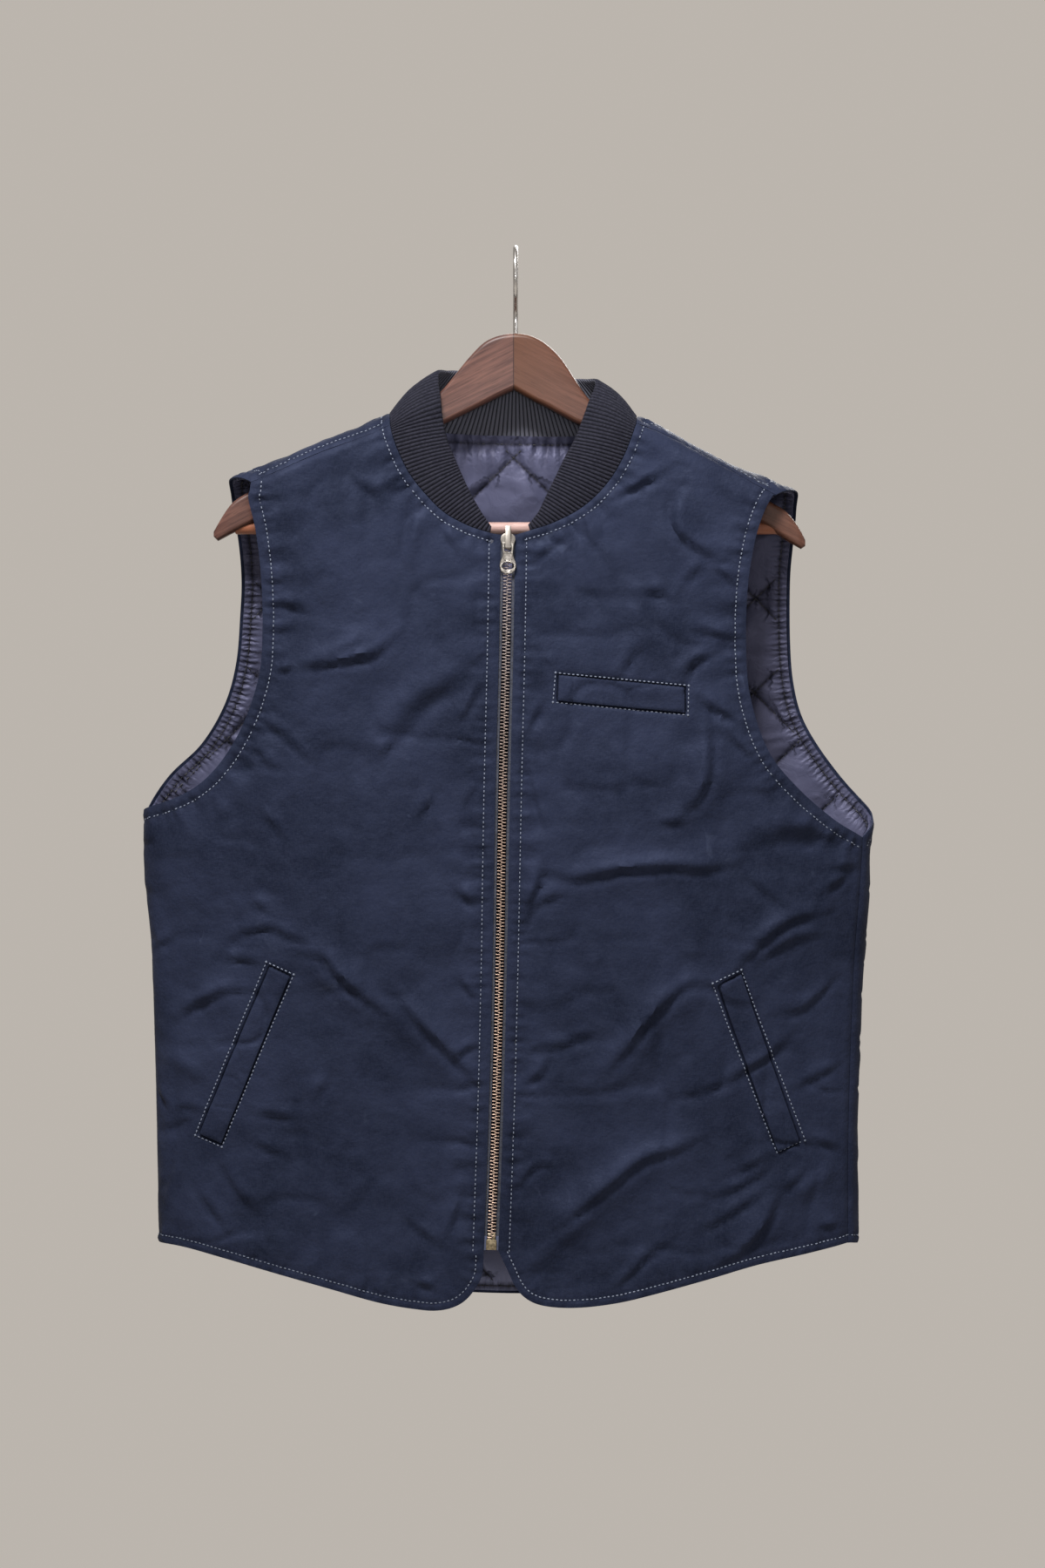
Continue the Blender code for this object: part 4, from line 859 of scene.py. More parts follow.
def welt_outline(corners):
    """The closed line round a pocket's welt."""
    return np.concatenate([side[:-1] for side in welt_sides(corners, WELT_STEP)])


def mouth(corners):
    """The groove that is pressed into a front round a pocket's welt, just clear of it."""
    return inset(welt_outline(corners), -MOUTH_CLEAR)


right_cut = cut_panel(
    FRONT, front_lines(False, ARMHOLE_FRONT_RIGHT, HEM_RIGHT, UNDERARM_RIGHT), -1, CREASES_RIGHT, 11,
    [mouth(RIGHT_POCKET)])
front_right = shell("vest_front_right", right_cut, "front_right_shell")

# ---- Left front of waxed cotton.
# The same panel in the same cloth for the other side. No flap covers the zip: both fronts meet it
# with a folded edge. It has two pockets, one on the chest and a slanted one for the hand.
CREASES_LEFT = {
    "strong": [
        [(127, -185), (119, -199), (122, -217), (140, -231), (155, -238)],
        [(127, -330), (129, -321), (136, -313), (150, -307)], [(138, -342), (152, -351), (166, -358)],
        [(127, -427), (136, -418), (144, -402), (146, -379), (145, -356)],
        [(6, -504), (16, -483), (21, -465)],
        [(25, -472), (44, -477), (55, -475), (83, -470), (117, -468), (140, -470), (167, -465)],
        [(241, -469), (267, -468)], [(168, -544), (178, -532), (201, -511), (231, -502)],
        [(71, -619), (83, -605), (95, -589), (113, -569), (129, -557), (147, -557)],
        [(25, -743), (46, -727), (69, -709), (95, -688), (122, -680), (136, -672)],
        [(150, -769), (170, -758), (187, -738), (196, -717), (196, -710)],
    ],
    "broad": [
        [(180, -450), (196, -444), (210, -441), (258, -444)],
    ],
    "soft": [
        [(11, -238), (21, -232), (41, -216)], [(47, -218), (46, -236)], [(53, -211), (57, -229)],
        [(62, -222), (68, -241)], [(67, -192), (99, -178)], [(81, -188), (117, -167)],
        [(152, -243), (164, -256)], [(127, -255), (140, -241)], [(97, -261), (115, -264)],
        [(131, -289), (145, -292), (161, -296)], [(78, -324), (90, -305)], [(21, -310), (27, -319)],
        [(155, -365), (170, -379), (182, -388)], [(7, -370), (14, -356), (21, -345)],
        [(7, -379), (14, -414), (25, -448)], [(108, -436), (129, -434)],
        [(6, -513), (18, -495), (39, -487)], [(170, -472), (185, -485), (205, -502)],
        [(231, -488), (253, -472)], [(178, -544), (187, -536), (208, -523), (229, -520)],
        [(7, -605), (37, -601), (60, -591)], [(6, -631), (21, -621), (23, -610)],
        [(199, -578), (217, -574), (243, -551)],
        [(136, -635), (155, -631), (175, -619), (191, -610), (210, -592)], [(210, -634), (243, -618)],
        [(2, -707), (16, -692), (32, -692)], [(71, -787), (87, -773), (99, -760), (117, -748)],
        [(138, -742), (164, -727), (187, -712)], [(145, -718), (178, -703), (194, -687)],
        [(164, -698), (180, -691), (191, -684)], [(201, -712), (220, -696)],
        [(220, -674), (231, -676), (250, -684)], [(229, -740), (243, -739)],
    ],
    "ridge": [
        [(87, -266), (90, -310)], [(9, -773), (39, -746), (69, -720)], [(210, -719), (241, -699)],
    ],
}
ARMHOLE_FRONT_LEFT = [
    # across, height
    (194, -188), (187, -201), (180, -223), (174.5, -258), (173.2, -302), (176.5, -341),
    (190, -381), (212.5, -409), (240, -432.5),
]
CHEST_POCKET = [(32.7, -324.3), (126.6, -333.7), (126.6, -352.3), (32, -343.2)]
LEFT_POCKET = [(169.2, -548.8), (213.6, -675.1), (197.2, -682), (152.8, -557.3)]
HEM_LEFT = [
    # across, height
    (-6, -770), (-1, -781), (6, -790), (17, -796), (34, -798.5), (55, -798), (80, -794.5),
    (107, -788), (144, -778), (181, -767.5), (217, -760),
]

left_cut = cut_panel(
    FRONT, front_lines(True, ARMHOLE_FRONT_LEFT, HEM_LEFT, UNDERARM_LEFT), 1, CREASES_LEFT, 23,
    [mouth(CHEST_POCKET), mouth(LEFT_POCKET)])
front_left = shell("vest_front_left", left_cut, "front_left_shell")

# ---- Back of waxed cotton.
# One panel that comes over both shoulders to top-stitched seams in front of them. Its creases are
# like the fronts': they hang from the shoulder blades and gather towards the sides and the hem.
CREASES_BACK = {
    "strong": [
        [(-178, -262), (-140, -290), (-96, -302)], [(172, -270), (128, -300), (90, -306)],
        [(-120, -470), (-60, -452), (10, -470)], [(60, -590), (112, -566), (176, -574)],
        [(-206, -560), (-160, -590), (-104, -598)], [(30, -720), (84, -700), (150, -712)],
    ],
    "broad": [
        [(-60, -220), (0, -232), (66, -222)], [(-210, -470), (-170, -500), (-150, -560)],
        [(204, -452), (160, -490), (140, -548)], [(-150, -690), (-90, -664), (-30, -680)],
    ],
    "soft": [
        [(-196, -312), (-170, -336)], [(-150, -356), (-112, -350), (-84, -366)], [(188, -330), (162, -352)],
        [(98, -366), (140, -352)], [(-40, -330), (0, -318), (36, -332)], [(-226, -520), (-200, -540)],
        [(222, -508), (196, -532)], [(-90, -540), (-48, -526)], [(20, -520), (60, -506), (96, -520)],
        [(-232, -640), (-190, -650)], [(200, -640), (236, -628)], [(-60, -620), (-10, -640), (30, -630)],
        [(-200, -730), (-160, -716)], [(-110, -760), (-70, -742), (-20, -756)], [(170, -736), (214, -722)],
        [(60, -770), (100, -756)], [(-150, -420), (-110, -410)], [(120, -420), (170, -408)],
    ],
    "ridge": [
        [(-20, -560), (6, -610), (-8, -660)], [(190, -660), (160, -690)], [(-176, -620), (-140, -644)],
    ],
}
ARMHOLE_BACK_RIGHT = [
    # across, height
    (-216, -174.4), (-216.5, -188), (-211.5, -222), (-209.7, -250), (-211, -276), (-214.5, -313),
    (-223.5, -345), (-241, -375), (-265, -399),
]
ARMHOLE_BACK_LEFT = [
    (213, -184), (214, -198), (212, -222), (210, -250), (210.5, -296), (213.5, -330), (221.5, -358),
    (240, -388), (263, -416),
]
HEM_BACK = [
    # across, height
    (-235, -757), (-190, -767), (-140, -780), (-85, -792), (-20, -797), (50, -796), (110, -787),
    (165, -774), (215, -761),
]


def back_lines():
    """The lines round the back, from the right shoulder's tip over the neck and round."""
    shoulders = {key: seam_shoulder(*ends, BACK) for key, ends in SEAM_ENDS.items()}
    seams = {"right": seam_side(False, BACK, UNDERARM_RIGHT), "left": seam_side(True, BACK, UNDERARM_LEFT)}
    arms = {}
    for key, rows in (("right", ARMHOLE_BACK_RIGHT), ("left", ARMHOLE_BACK_LEFT)):
        arms[key] = smooth(np.concatenate([shoulders[key][:1], table_line(rows), seams[key][:1]]))
    collar = smooth(collar_seams()[1][1])
    hem = smooth(np.concatenate([seams["right"][-1:], table_line(HEM_BACK), seams["left"][-1:]]))
    return [
        (np.concatenate([shoulders["right"], collar[:1]]), "shoulder_back"),
        (np.concatenate([collar, shoulders["left"][-1:]]), "neck"),
        (shoulders["left"][::-1], "shoulder_back"),
        (arms["left"], "arm"),
        (seams["left"], "side"),
        (hem[::-1], "hem"),
        (seams["right"][::-1], "side"),
        (arms["right"][::-1], "arm"),
    ]


back_cut = cut_panel(BACK, back_lines(), -1, CREASES_BACK, 37)
back = shell("vest_back", back_cut, "back_shell")

# ---- Collar of doubled rib knit.
# A stand collar of charcoal wool mix, knitted in 1 × 1 rib and folded double. It is sewn into the
# neck from one side of the zip's top to the other, and its ribs run up to the fold.
COLLAR, COLLAR_GAP, BAND_BULGE, BAND_FULL, BAND_LEAN = 3.6, 0.45, 4.0, 45, 0.12
RIB_PITCH, RIB_DEPTH, RIB_STEPS = 2.8, 0.95, 8


def collar_places():
    """Even places along the collar: its seam, the way out of the cloth there, its free edge."""
    seam, out = [], []
    seams = collar_seams()
    for n, (side, line) in enumerate(seams):
        fine = smooth(line)
        if n + 1 < len(seams):
            fine = fine[:-1]
        seam.append(surface(side, *fine.T))
        out.append(outward(side, *fine.T))
    edge = smooth([row[3:6] for row in COLLAR_ROWS])
    both = np.hstack([np.concatenate(seam), np.concatenate(out), edge])
    walked = walked_along((both[:, :3] + both[:, 6:]) / 2)
    at = np.linspace(0, walked[-1], RIB_STEPS * round(walked[-1] / RIB_PITCH) + 1)
    found = np.stack([np.interp(at, walked, both[:, n]) for n in range(9)], -1)
    return at, found[:, :3], found[:, 3:6], found[:, 6:]


def band_profile():
    """Round the band's section: how far up (0 to 1), and which side (1 outside, -1 inside)."""
    up = [0.0, 0.015, 0.05, 0.12, 0.22, 0.34, 0.46, 0.58, 0.70, 0.80, 0.88, 0.94]
    fold = [(1 - 0.055 * (1 - math.sin(t)), math.cos(t)) for t in np.linspace(0.25, math.pi - 0.25, 7)]
    return [(u, 1.0) for u in up] + fold + [(u, -1.0) for u in up[::-1]]


def knit():
    """Charcoal yarn with small loops, with painted shade in the grooves between the ribs and painted light
    inside the band.
    """
    look, tree, principled = shader("rib_knit", 0.92)
    yarn = spread(tree, grain(tree, 1.6, 3.0), 0.3, 0.7)
    crest = blended(tree, yarn, (0.0080, 0.0082, 0.0130), (0.0175, 0.0178, 0.0262))
    # Painted light: the band's inside face is made much paler, where it lies in shade behind the neck.
    crest = blended(tree, paint(tree, "inner"), crest, (0.0640, 0.0655, 0.0830))
    # Painted shade: near black in the grooves between the ribs.
    colour = blended(tree, paint(tree, "groove"), crest, (0.0026, 0.0028, 0.0042))
    tree.links.new(colour, principled.inputs["Base Color"])
    principled.inputs["Specular IOR Level"].default_value = 0.06
    bumped(tree, principled, (grain(tree, 1.1, 2.0), 0.35))
    return look


def band():
    """The folded band; it leaves the seam along the cloth's own way out, then stands up and bulges."""
    at, seam, base_out, edge = collar_places()
    height = np.linalg.norm(edge - seam, axis=1, keepdims=True)
    up = unit(edge - seam)
    out = unit(np.cross(up, np.gradient(seam + edge, axis=0)))
    base_out = base_out / (base_out * out).sum(axis=1, keepdims=True)
    wave = np.abs(np.sin(math.pi * at / RIB_PITCH))[:, None] ** 0.8
    rings = []
    for level, way in band_profile():
        line = seam + up * (COLLAR_GAP + (height - COLLAR_GAP) * level)
        bulge = BAND_BULGE * math.sin(math.pi * min(level, 1)) * np.clip(height / BAND_FULL, 0, 1)
        lean = base_out * max(0, 1 - level / BAND_LEAN) + out * min(1, level / BAND_LEAN)
        rib = RIB_DEPTH * (wave - 1) * way
        rings.append(line + out * bulge + lean * ((way - 1) * COLLAR / 2 + rib))
    points = np.stack(rings, 1)
    count, around = points.shape[:2]
    faces = []
    for n in range(count - 1):
        for m in range(around):
            a, b = n * around + m, n * around + (m + 1) % around
            faces.append((a, a + around, b + around, b))
    faces += [range(around), range(count * around - 1, (count - 1) * around - 1, -1)]
    made = made_of("vest_collar", points.reshape(-1, 3), faces, knit(), 75)
    # Painted shade in the grooves between the ribs, and painted light on the band's inside face.
    painted(made, "groove", np.repeat(eased(1.15 - 1.5 * wave[:, 0]), around))
    painted(made, "inner", np.tile([way < 0 for _, way in band_profile()], count))
    return made


collar = band()
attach(collar, "vest")
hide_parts("rib_collar")

# ---- Padded lining, quilted in diamonds.
# Slate nylon over thin wadding, quilted in diamonds of 2 inches. Each panel is sewn in under its
# shell along the turned edges, with a narrow gathered channel outside the row of stitches.
DIAMOND, QUILT_ACROSS, QUILT_UP = 50.8, 3.3, -156.0
PAD_THIN, PAD_PUFF, CHANNEL_PUFF, NECK_ROLL, NECK_THICK = 0.9, 4.6, 1.8, 1.3, 1.4
TUCKS = {
    # kind of seam: how far apart its tucks are, how far they reach and how deep they are
    "quilting": (9.0, 5.0, 0.12),
    "edge": (4.2, 6.0, 0.50),
    "neck": (10.0, 17.0, 0.80),
}
TUCKS_WANDER, SEAM_SHADE_HALF, HEM_LIGHT_REACH = 5.0, 1.3, 38.0
CHANNEL, CHANNEL_EASE = 8.5, 8.0
LINING_FINE, LINING_COARSE, QUILT_STEP = 3.0, 4.3, 2.6


def quilt_places(places):
    """Each place along and across the quilting, in diamonds: whole numbers are seams."""
    a, v = places[:, 0] - QUILT_ACROSS, places[:, 1] - QUILT_UP
    return (v + a) / DIAMOND / math.sqrt(2), (v - a) / DIAMOND / math.sqrt(2)


def quilt_lines(outline, spacing):
    """The seams of the quilting that cross a panel, both ways."""
    lines = []
    reach = 900
    for n in range(-24, 25):
        for slope in (1, -1):
            up = QUILT_UP + n * DIAMOND * math.sqrt(2)
            start = np.array([QUILT_ACROSS - reach, up - slope * reach])
            line = stepped(np.array([start, start + [2 * reach, 2 * reach * slope]]), spacing)
            lines.append(line[inside(outline, line)])
    return [line for line in lines if len(line) > 3]


def nylon():
    """Slate navy nylon with a soft violet shine, drawn into small tucks with painted light on their crests
    and painted shade in their hollows; painted light along the hem, and painted shade along its seams."""
    look, tree, principled = shader("lining_nylon", 0.48)
    clouds = grain(tree, 30, 3.0)
    turns = maths(tree, "MULTIPLY", paint(tree, "waves"), 2 * math.pi)
    wandering = maths(tree, "ADD", turns, maths(tree, "MULTIPLY", grain(tree, 24), TUCKS_WANDER))
    tucks = maths(tree, "MULTIPLY", maths(tree, "SINE", wandering), paint(tree, "tuck"))
    colour = blended(tree, spread(tree, clouds, 0.3, 0.7), (0.031, 0.033, 0.059), (0.045, 0.047, 0.080))
    # Painted shade in each tuck's hollow and painted light on its crest, standing for the tucks' shading.
    colour = blended(tree, spread(tree, tucks, 0.0, -1.0, 0.0, 0.60), colour, (0.011, 0.011, 0.021))
    colour = blended(tree, spread(tree, tucks, 0.2, 1.0, 0.0, 0.45), colour, (0.070, 0.072, 0.116))
    # Painted light: a pale band along the hem, where the lining lies in the fronts' shade.
    colour = blended(tree, paint(tree, "hem"), colour, (0.105, 0.115, 0.185))
    # Along the quilting and edge seams: partly the dark needle line, partly painted shade of the seam's
    # crease.
    colour = blended(tree, paint(tree, "seam"), colour, (0.004, 0.004, 0.008))
    tree.links.new(colour, principled.inputs["Base Color"])
    principled.inputs["Specular IOR Level"].default_value = 0.20
    principled.inputs["Specular Tint"].default_value = (0.70, 0.70, 1.0, 1)
    bumped(tree, principled, (tucks, 0.9), (grain(tree, 11, 3.0, distort=1.5), 0.5))
    return look


NYLON = nylon()


def quilted(cut, places):
    """1 where the lining is quilted, and 0 in the channel along its edges."""
    return eased((nearest(places, cut["edge"])[0] - CHANNEL) / CHANNEL_EASE)


def padding(cut, places):
    """How thick the lining is, with a narrow channel along each edge and puffed diamonds inside."""
    inner = quilted(cut, places)
    p, q = quilt_places(places)
    puff = np.abs(np.sin(math.pi * p) * np.sin(math.pi * q)) ** 0.5
    puff *= PAD_PUFF + 0.6 * noise(places, 18, cut["seed"] + 7)
    pad = CHANNEL_PUFF * (1 - inner) + inner * puff
    for row, _ in cut["rows"]:
        pad *= 1 - 0.9 * hump(nearest(places, row)[0], 1.5)
    return PAD_THIN + np.maximum(pad, 0)


def tucked(cut, places):
    """For each place: how much painted shade its nearest seam gives, how many tucks along that seam, and
    how deep they are.
    """
    p, q = quilt_places(places)
    inner, every = quilted(cut, places), np.ones(len(places))
    seams = []
    for across, along in ((p, q), (q, p)):
        gap = np.abs(across - np.round(across)) * DIAMOND
        seams.append((TUCKS["quilting"], gap, along * DIAMOND, inner))
    for row, _ in cut["rows"]:
        kind = "neck" if nearest(row, cut["neck"])[0].max() < 2 * EDGES["neck"][0] else "edge"
        seams.append((TUCKS[kind], *nearest(places, row), every))
    waves = np.stack([walked / pitch for (pitch, _, _), _, walked, _ in seams])
    seam = np.stack([share * hump(gap, SEAM_SHADE_HALF) for _, gap, _, share in seams]).max(axis=0)
    deep = np.stack([share * depth * hump(gap, reach) for (_, reach, depth), gap, _, share in seams])
    first = (deep.argmax(axis=0), np.arange(len(places)))
    return seam, waves[first], deep[first]


def padded_lining(name, cut, node_name, seen=None):
    """The quilted lining of one panel; at the neck its turned edge rolls over the collar's seam."""
    evened = [np.roll(cut["lining_in"], n) for n in range(-4, 5)]
    outline = inset(cut["outline"], sum(evened) / len(evened))
    lines = [*quilt_lines(outline, QUILT_STEP), *(stepped(row, EDGE_STEP) for row, _ in cut["rows"])]
    edge = stepped(outline, 1.0)
    lines = [line[inside(outline, line) & (nearest(line, edge)[0] > 1.2)] for line in lines]
    places, triangles = net(outline, lines, LINING_FINE, LINING_COARSE, cut["seed"] + 1, seen=seen)
    triangles = facing_out(cut["side"], triangles, places)
    out = outward(cut["side"], *places.T)
    near = surface(cut["side"], *places.T) + out * (lift(cut, places) - SHELL - GAP)[:, None]
    roll = hump(nearest(places, cut["neck"])[0], 4.5)
    up = surface(cut["side"], *cut["neck"].T)[nearest_rows(places, cut["neck"])] - near
    up -= out * (up * out).sum(axis=1, keepdims=True)
    up /= np.maximum(np.linalg.norm(up, axis=1, keepdims=True), 0.3)
    inwards = padding(cut, places) + NECK_THICK * roll
    far = near - out * inwards[:, None] + up * (NECK_ROLL * roll)[:, None]
    made = wall(name, near, far, triangles, NYLON, 80)
    # Painted seam shade, and the tucks that carry painted light and shade, for the lining's material.
    for kind, values in zip(("seam", "waves", "tuck"), tucked(cut, places)):
        painted(made, kind, np.tile(values, 2))
    # Painted light that pales the lining towards its hem.
    painted(made, "hem", np.tile(hump(places[:, 1] - outline[:, 1].min(), HEM_LIGHT_REACH), 2))
    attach(made, "vest")
    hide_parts(node_name)
    return made


padded_lining("lining_front_right", right_cut, "front_right_lining")
padded_lining("lining_front_left", left_cut, "front_left_lining")
padded_lining("lining_back", back_cut, "back_lining", seen=back_cut["openings"])

# ---- Pocket welts.
# Doubled bands of the waxed cotton, one on the chest and one slanted over each hand pocket. Each is
# pressed flat on its front, inside a groove and a row of stitches that go all round it.
WELT, WELT_SEED, WELT_WAVES_SEED = 1.2, 70, 80
WELTS = {
    # name: panel, node, corners
    "chest_pocket_welt": (left_cut, "chest_welt", CHEST_POCKET),
    "right_hand_pocket_welt": (right_cut, "right_pocket_welt", RIGHT_POCKET),
    "left_hand_pocket_welt": (left_cut, "left_pocket_welt", LEFT_POCKET),
}

welt_pieces = {}
for n, (name, (cut, node_name, corners)) in enumerate(WELTS.items()):
    outline = welt_outline(corners)
    inner_lines = [inset(outline, 1.0), inset(outline, 2.2)]
    places, triangles = net(outline, inner_lines, WELT_STEP, WELT_STEP, WELT_SEED + n)
    triangles = facing_out(FRONT, triangles, places)
    out = outward(FRONT, *places.T)
    edge, _ = nearest(places, stepped(np.concatenate([outline, outline[:1]]), 0.6))
    base = lift(dict(cut, mouths=()), places) + GAP
    rise = WELT * (0.55 + 0.45 * eased(edge / 1.5))
    rise += 0.30 * noise(places, 15, WELT_WAVES_SEED + n) * eased(edge / 4)
    near = surface(FRONT, *places.T) + out * (base + rise)[:, None]
    far = surface(FRONT, *places.T) + out * base[:, None]
    made = wall(name, near, far, triangles, WAXED)
    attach(made, "vest")
    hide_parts(node_name)
    welt_pieces.setdefault(cut["seed"], []).append(made)

# ---- Stitches.
# Rows of lockstitch: pale blue polyester thread along the turned edges, the neck, the shoulders and
# round each welt, and dark thread along the quilting. Each stitch is pulled a little into the cloth.
PITCH, STITCH_LONG, THREAD = 3.3, 1.8, 0.42
QUILT_PITCH, QUILT_LONG, QUILT_THREAD = 3.4, 2.5, 0.40
THREAD_FLAT, THREAD_OUT, QUILT_FROM = 0.8, 0.12, 10.5
WELT_STITCHES = [
    # cut, corners as across and height
    (left_cut, [(30.1, -322.3), (129.9, -332.1), (129.2, -354.3), (28.1, -344.5)]),
    (right_cut, [(-186.6, -539), (-166.1, -548.5), (-220.8, -678.7), (-241.1, -670.2)]),
    (left_cut, [(147.6, -555), (169.2, -544.9), (218.1, -674.1), (196.3, -682.6)]),
]


def thread(name, colour, dark):
    """Spun thread in two tones."""
    look, tree, principled = shader(name, 0.7)
    tree.links.new(blended(tree, grain(tree, 6.0), dark, colour), principled.inputs["Base Color"])
    bumped(tree, principled, (grain(tree, 0.5), 0.06))
    return look


PALE_THREAD = thread("pale_thread", (0.120, 0.140, 0.190), (0.070, 0.084, 0.120))
DARK_THREAD = thread("dark_thread", (0.0040, 0.0045, 0.0080), (0.0020, 0.0022, 0.0040))


def bar_shape(sides):
    """A stitch along X with tapered ends, one unit long and thick, as points and faces."""
    rings = [(-0.5, 0.45), (-0.36, 1.0), (0.36, 1.0), (0.5, 0.45)]
    turns = np.linspace(0, 2 * math.pi, sides, endpoint=False)
    points = np.array([(x, r * math.cos(t), r * math.sin(t)) for x, r in rings for t in turns])
    faces = [list(range(sides))[::-1], [3 * sides + n for n in range(sides)]]
    for ring in range(3):
        for n in range(sides):
            a, b = ring * sides + n, ring * sides + (n + 1) % sides
            faces.append([a, b, b + sides, a + sides])
    return points, faces


def copies(name, shape, centres, along, out, scale, look):
    """One mesh of many copies of a shape, each turned to its own directions."""
    points, faces = shape
    along = unit(along)
    out = unit(out - along * (out * along).sum(axis=1, keepdims=True))
    turned = np.stack([along, np.cross(out, along), out], 1)
    placed = np.einsum("kc,ncd->nkd", points * scale, turned) + centres[:, None]
    step = len(points)
    every = [[n * step + corner for corner in face] for n in range(len(centres)) for face in faces]
    return made_of(name, placed.reshape(-1, 3), every, look, 60)


def sewn(name, cut, lines, over, pitch, long, thick, look, sides=5):
    """Stitches along lines of a panel, as high off its plain form as over says."""
    side = cut["side"]
    centres, along, out = [], [], []
    for line in lines:
        line = stepped(line, pitch)
        if len(line) > 2:
            way = unit(np.gradient(line, axis=0))
            normal = outward(side, *line.T)
            centres.append(surface(side, *line.T) + normal * over(cut, line)[:, None])
            along.append(surface(side, *(line + way).T) - surface(side, *(line - way).T))
            out.append(normal)
    made = copies(name, bar_shape(sides), np.concatenate(centres), np.concatenate(along),
                  np.concatenate(out), np.array([long, thick, thick * THREAD_FLAT]), look)
    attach(made, "vest")
    return made


def unbroken(row):
    """A row of places split where it jumps, as at a corner that another row crosses."""
    jumps = np.flatnonzero(np.linalg.norm(np.diff(row, axis=0), axis=1) > 6) + 1
    return [part for part in np.split(row, jumps) if len(part) > 3]


def on_shell(cut, line):
    """How high a stitch lies on the outside of the shell."""
    return lift(cut, line) + THREAD_OUT


def on_lining(cut, line):
    """How high a stitch lies on the inside of the lining."""
    return lift(cut, line) - SHELL - GAP - padding(cut, line) - THREAD_OUT


PANELS = [
    # name, panel, cut, flat size of the cut in metres
    ("right", front_right, right_cut, (0.305, 0.69)),
    ("left", front_left, left_cut, (0.300, 0.69)),
    ("back", back, back_cut, (0.600, 0.70)),
]
for name, panel, cut, flat in PANELS:
    rows = [part for row, _ in cut["rows"] for part in unbroken(row)]
    stitches = sewn("stitches_" + name, cut, rows, on_shell, PITCH, STITCH_LONG, THREAD, PALE_THREAD)
    inner = inset(cut["outline"], QUILT_FROM)
    rows += [part for line in quilt_lines(inner, ROW_STEP) for part in unbroken(line)]
    sewn("quilting_" + name, cut, rows, on_lining, QUILT_PITCH, QUILT_LONG, QUILT_THREAD, DARK_THREAD, 4)
for n, (cut, corners) in enumerate(WELT_STITCHES):
    rows = welt_sides(corners, ROW_STEP)
    sewn("welt_stitches_%d" % n, cut, rows, on_shell, PITCH, STITCH_LONG, THREAD, PALE_THREAD)

# ---- Zip.
# A metal zip: woven tapes sewn behind the fronts' edges, brass teeth clamped on them by turns from
# each side, a nickel slider with its pull tab, and at the foot a box between two pale blue films.
TAPE, TAPE_DEPTH, TAPE_BEAD = 0.8, 1.5, 0.25
TAPE_OFFSETS = (3.4, 3.9, 4.4, 5.2, 8.0, 10.5, 13.0)
FILM, FILM_DEPTH, FILM_OFFSETS, FILM_TOP, FILM_FOOT = 0.15, 1.05, (3.45, 5.35), -744.5, -755.2
TEETH_TOP, TEETH_FOOT, TEETH_STEP, TOOTH_BEVEL = -229.6, -746.4, 1.25, 0.3
TOOTH = [
    # from the zip's middle, half height, depths of its front and back
    (-0.55, 0.22, 0.35, 2.25),
    (0.25, 0.30, 0.20, 2.55),
    (1.05, 0.30, 0.25, 2.75),
    (2.75, 0.38, 0.30, 2.80),
    (3.05, 0.32, 0.45, 2.65),
]


def zip_places(heights, offset):
    """Places on the front at some heights, so far to the side of the zip's middle."""
    return spot(rounded(ZIP_LINE, 0, 1, heights) + offset, heights)


def zip_points(heights, offset, depth):
    """The points at those places, so deep under the fronts' outside."""
    places = zip_places(heights, offset)
    out = outward(FRONT, *places.T)
    return surface(FRONT, *places.T) + out * (folded(FRONT, places) - depth)[:, None]


def woven_tape():
    """Navy tape with a fine weave."""
    look, tree, principled = shader("zip_tape", 0.85)
    rows = maths(tree, "ADD", grain(tree, 0.9, 1.0, (1, 1, 0.2)), grain(tree, 0.9, 1.0, (0.2, 1, 1)))
    colour = blended(tree, spread(tree, rows, 0.8, 1.2), (0.0080, 0.0095, 0.0160), (0.0240, 0.0280, 0.0440))
    tree.links.new(colour, principled.inputs["Base Color"])
    bumped(tree, principled, (rows, 0.15))
    return look


def metal(name, bright, dull, roughness, size):
    """A plated metal, duller in worn patches."""
    look, tree, principled = shader(name, roughness, 1.0)
    worn = spread(tree, grain(tree, size, 4.0), 0.35, 0.65)
    tree.links.new(blended(tree, worn, dull, bright), principled.inputs["Base Color"])
    gloss = spread(tree, worn, 0, 1, roughness + 0.12, roughness - 0.05)
    tree.links.new(gloss, principled.inputs["Roughness"])
    bumped(tree, principled, (grain(tree, 0.8, 2.0), 0.03))
    return look


def strip(name, offsets, top, foot, depth, thick, look):
    """A strip along the zip, beaded where its edge carries the teeth."""
    heights = np.linspace(top, foot, max(2, round((top - foot) / 3.0) + 1))
    near, far = [], []
    for offset in offsets:
        bead = TAPE_BEAD * (abs(offset) <= TAPE_OFFSETS[0])
        near.append(zip_points(heights, offset, depth - bead))
        far.append(zip_points(heights, offset, depth + thick + bead))
    count, triangles = len(heights), []
    for k in range(len(offsets) - 1):
        for n in range(count - 1):
            a = k * count + n
            triangles += [(a, a + 1, a + 1 + count), (a, a + 1 + count, a + count)]
    triangles = np.array(triangles)
    if offsets[-1] < offsets[0]:
        triangles = triangles[:, ::-1]
    return wall(name, np.concatenate(near), np.concatenate(far), triangles, look)


WOVEN_TAPE = woven_tape()
for name, sign in (("right", -1), ("left", 1)):
    offsets = [sign * x for x in TAPE_OFFSETS]
    tape = strip("zip_tape_woven_" + name, offsets, ZIP_TOP - 0.5, ZIP_FOOT, TAPE_DEPTH, TAPE, WOVEN_TAPE)
    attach(tape, "vest")
    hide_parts("zip_tape_" + name)


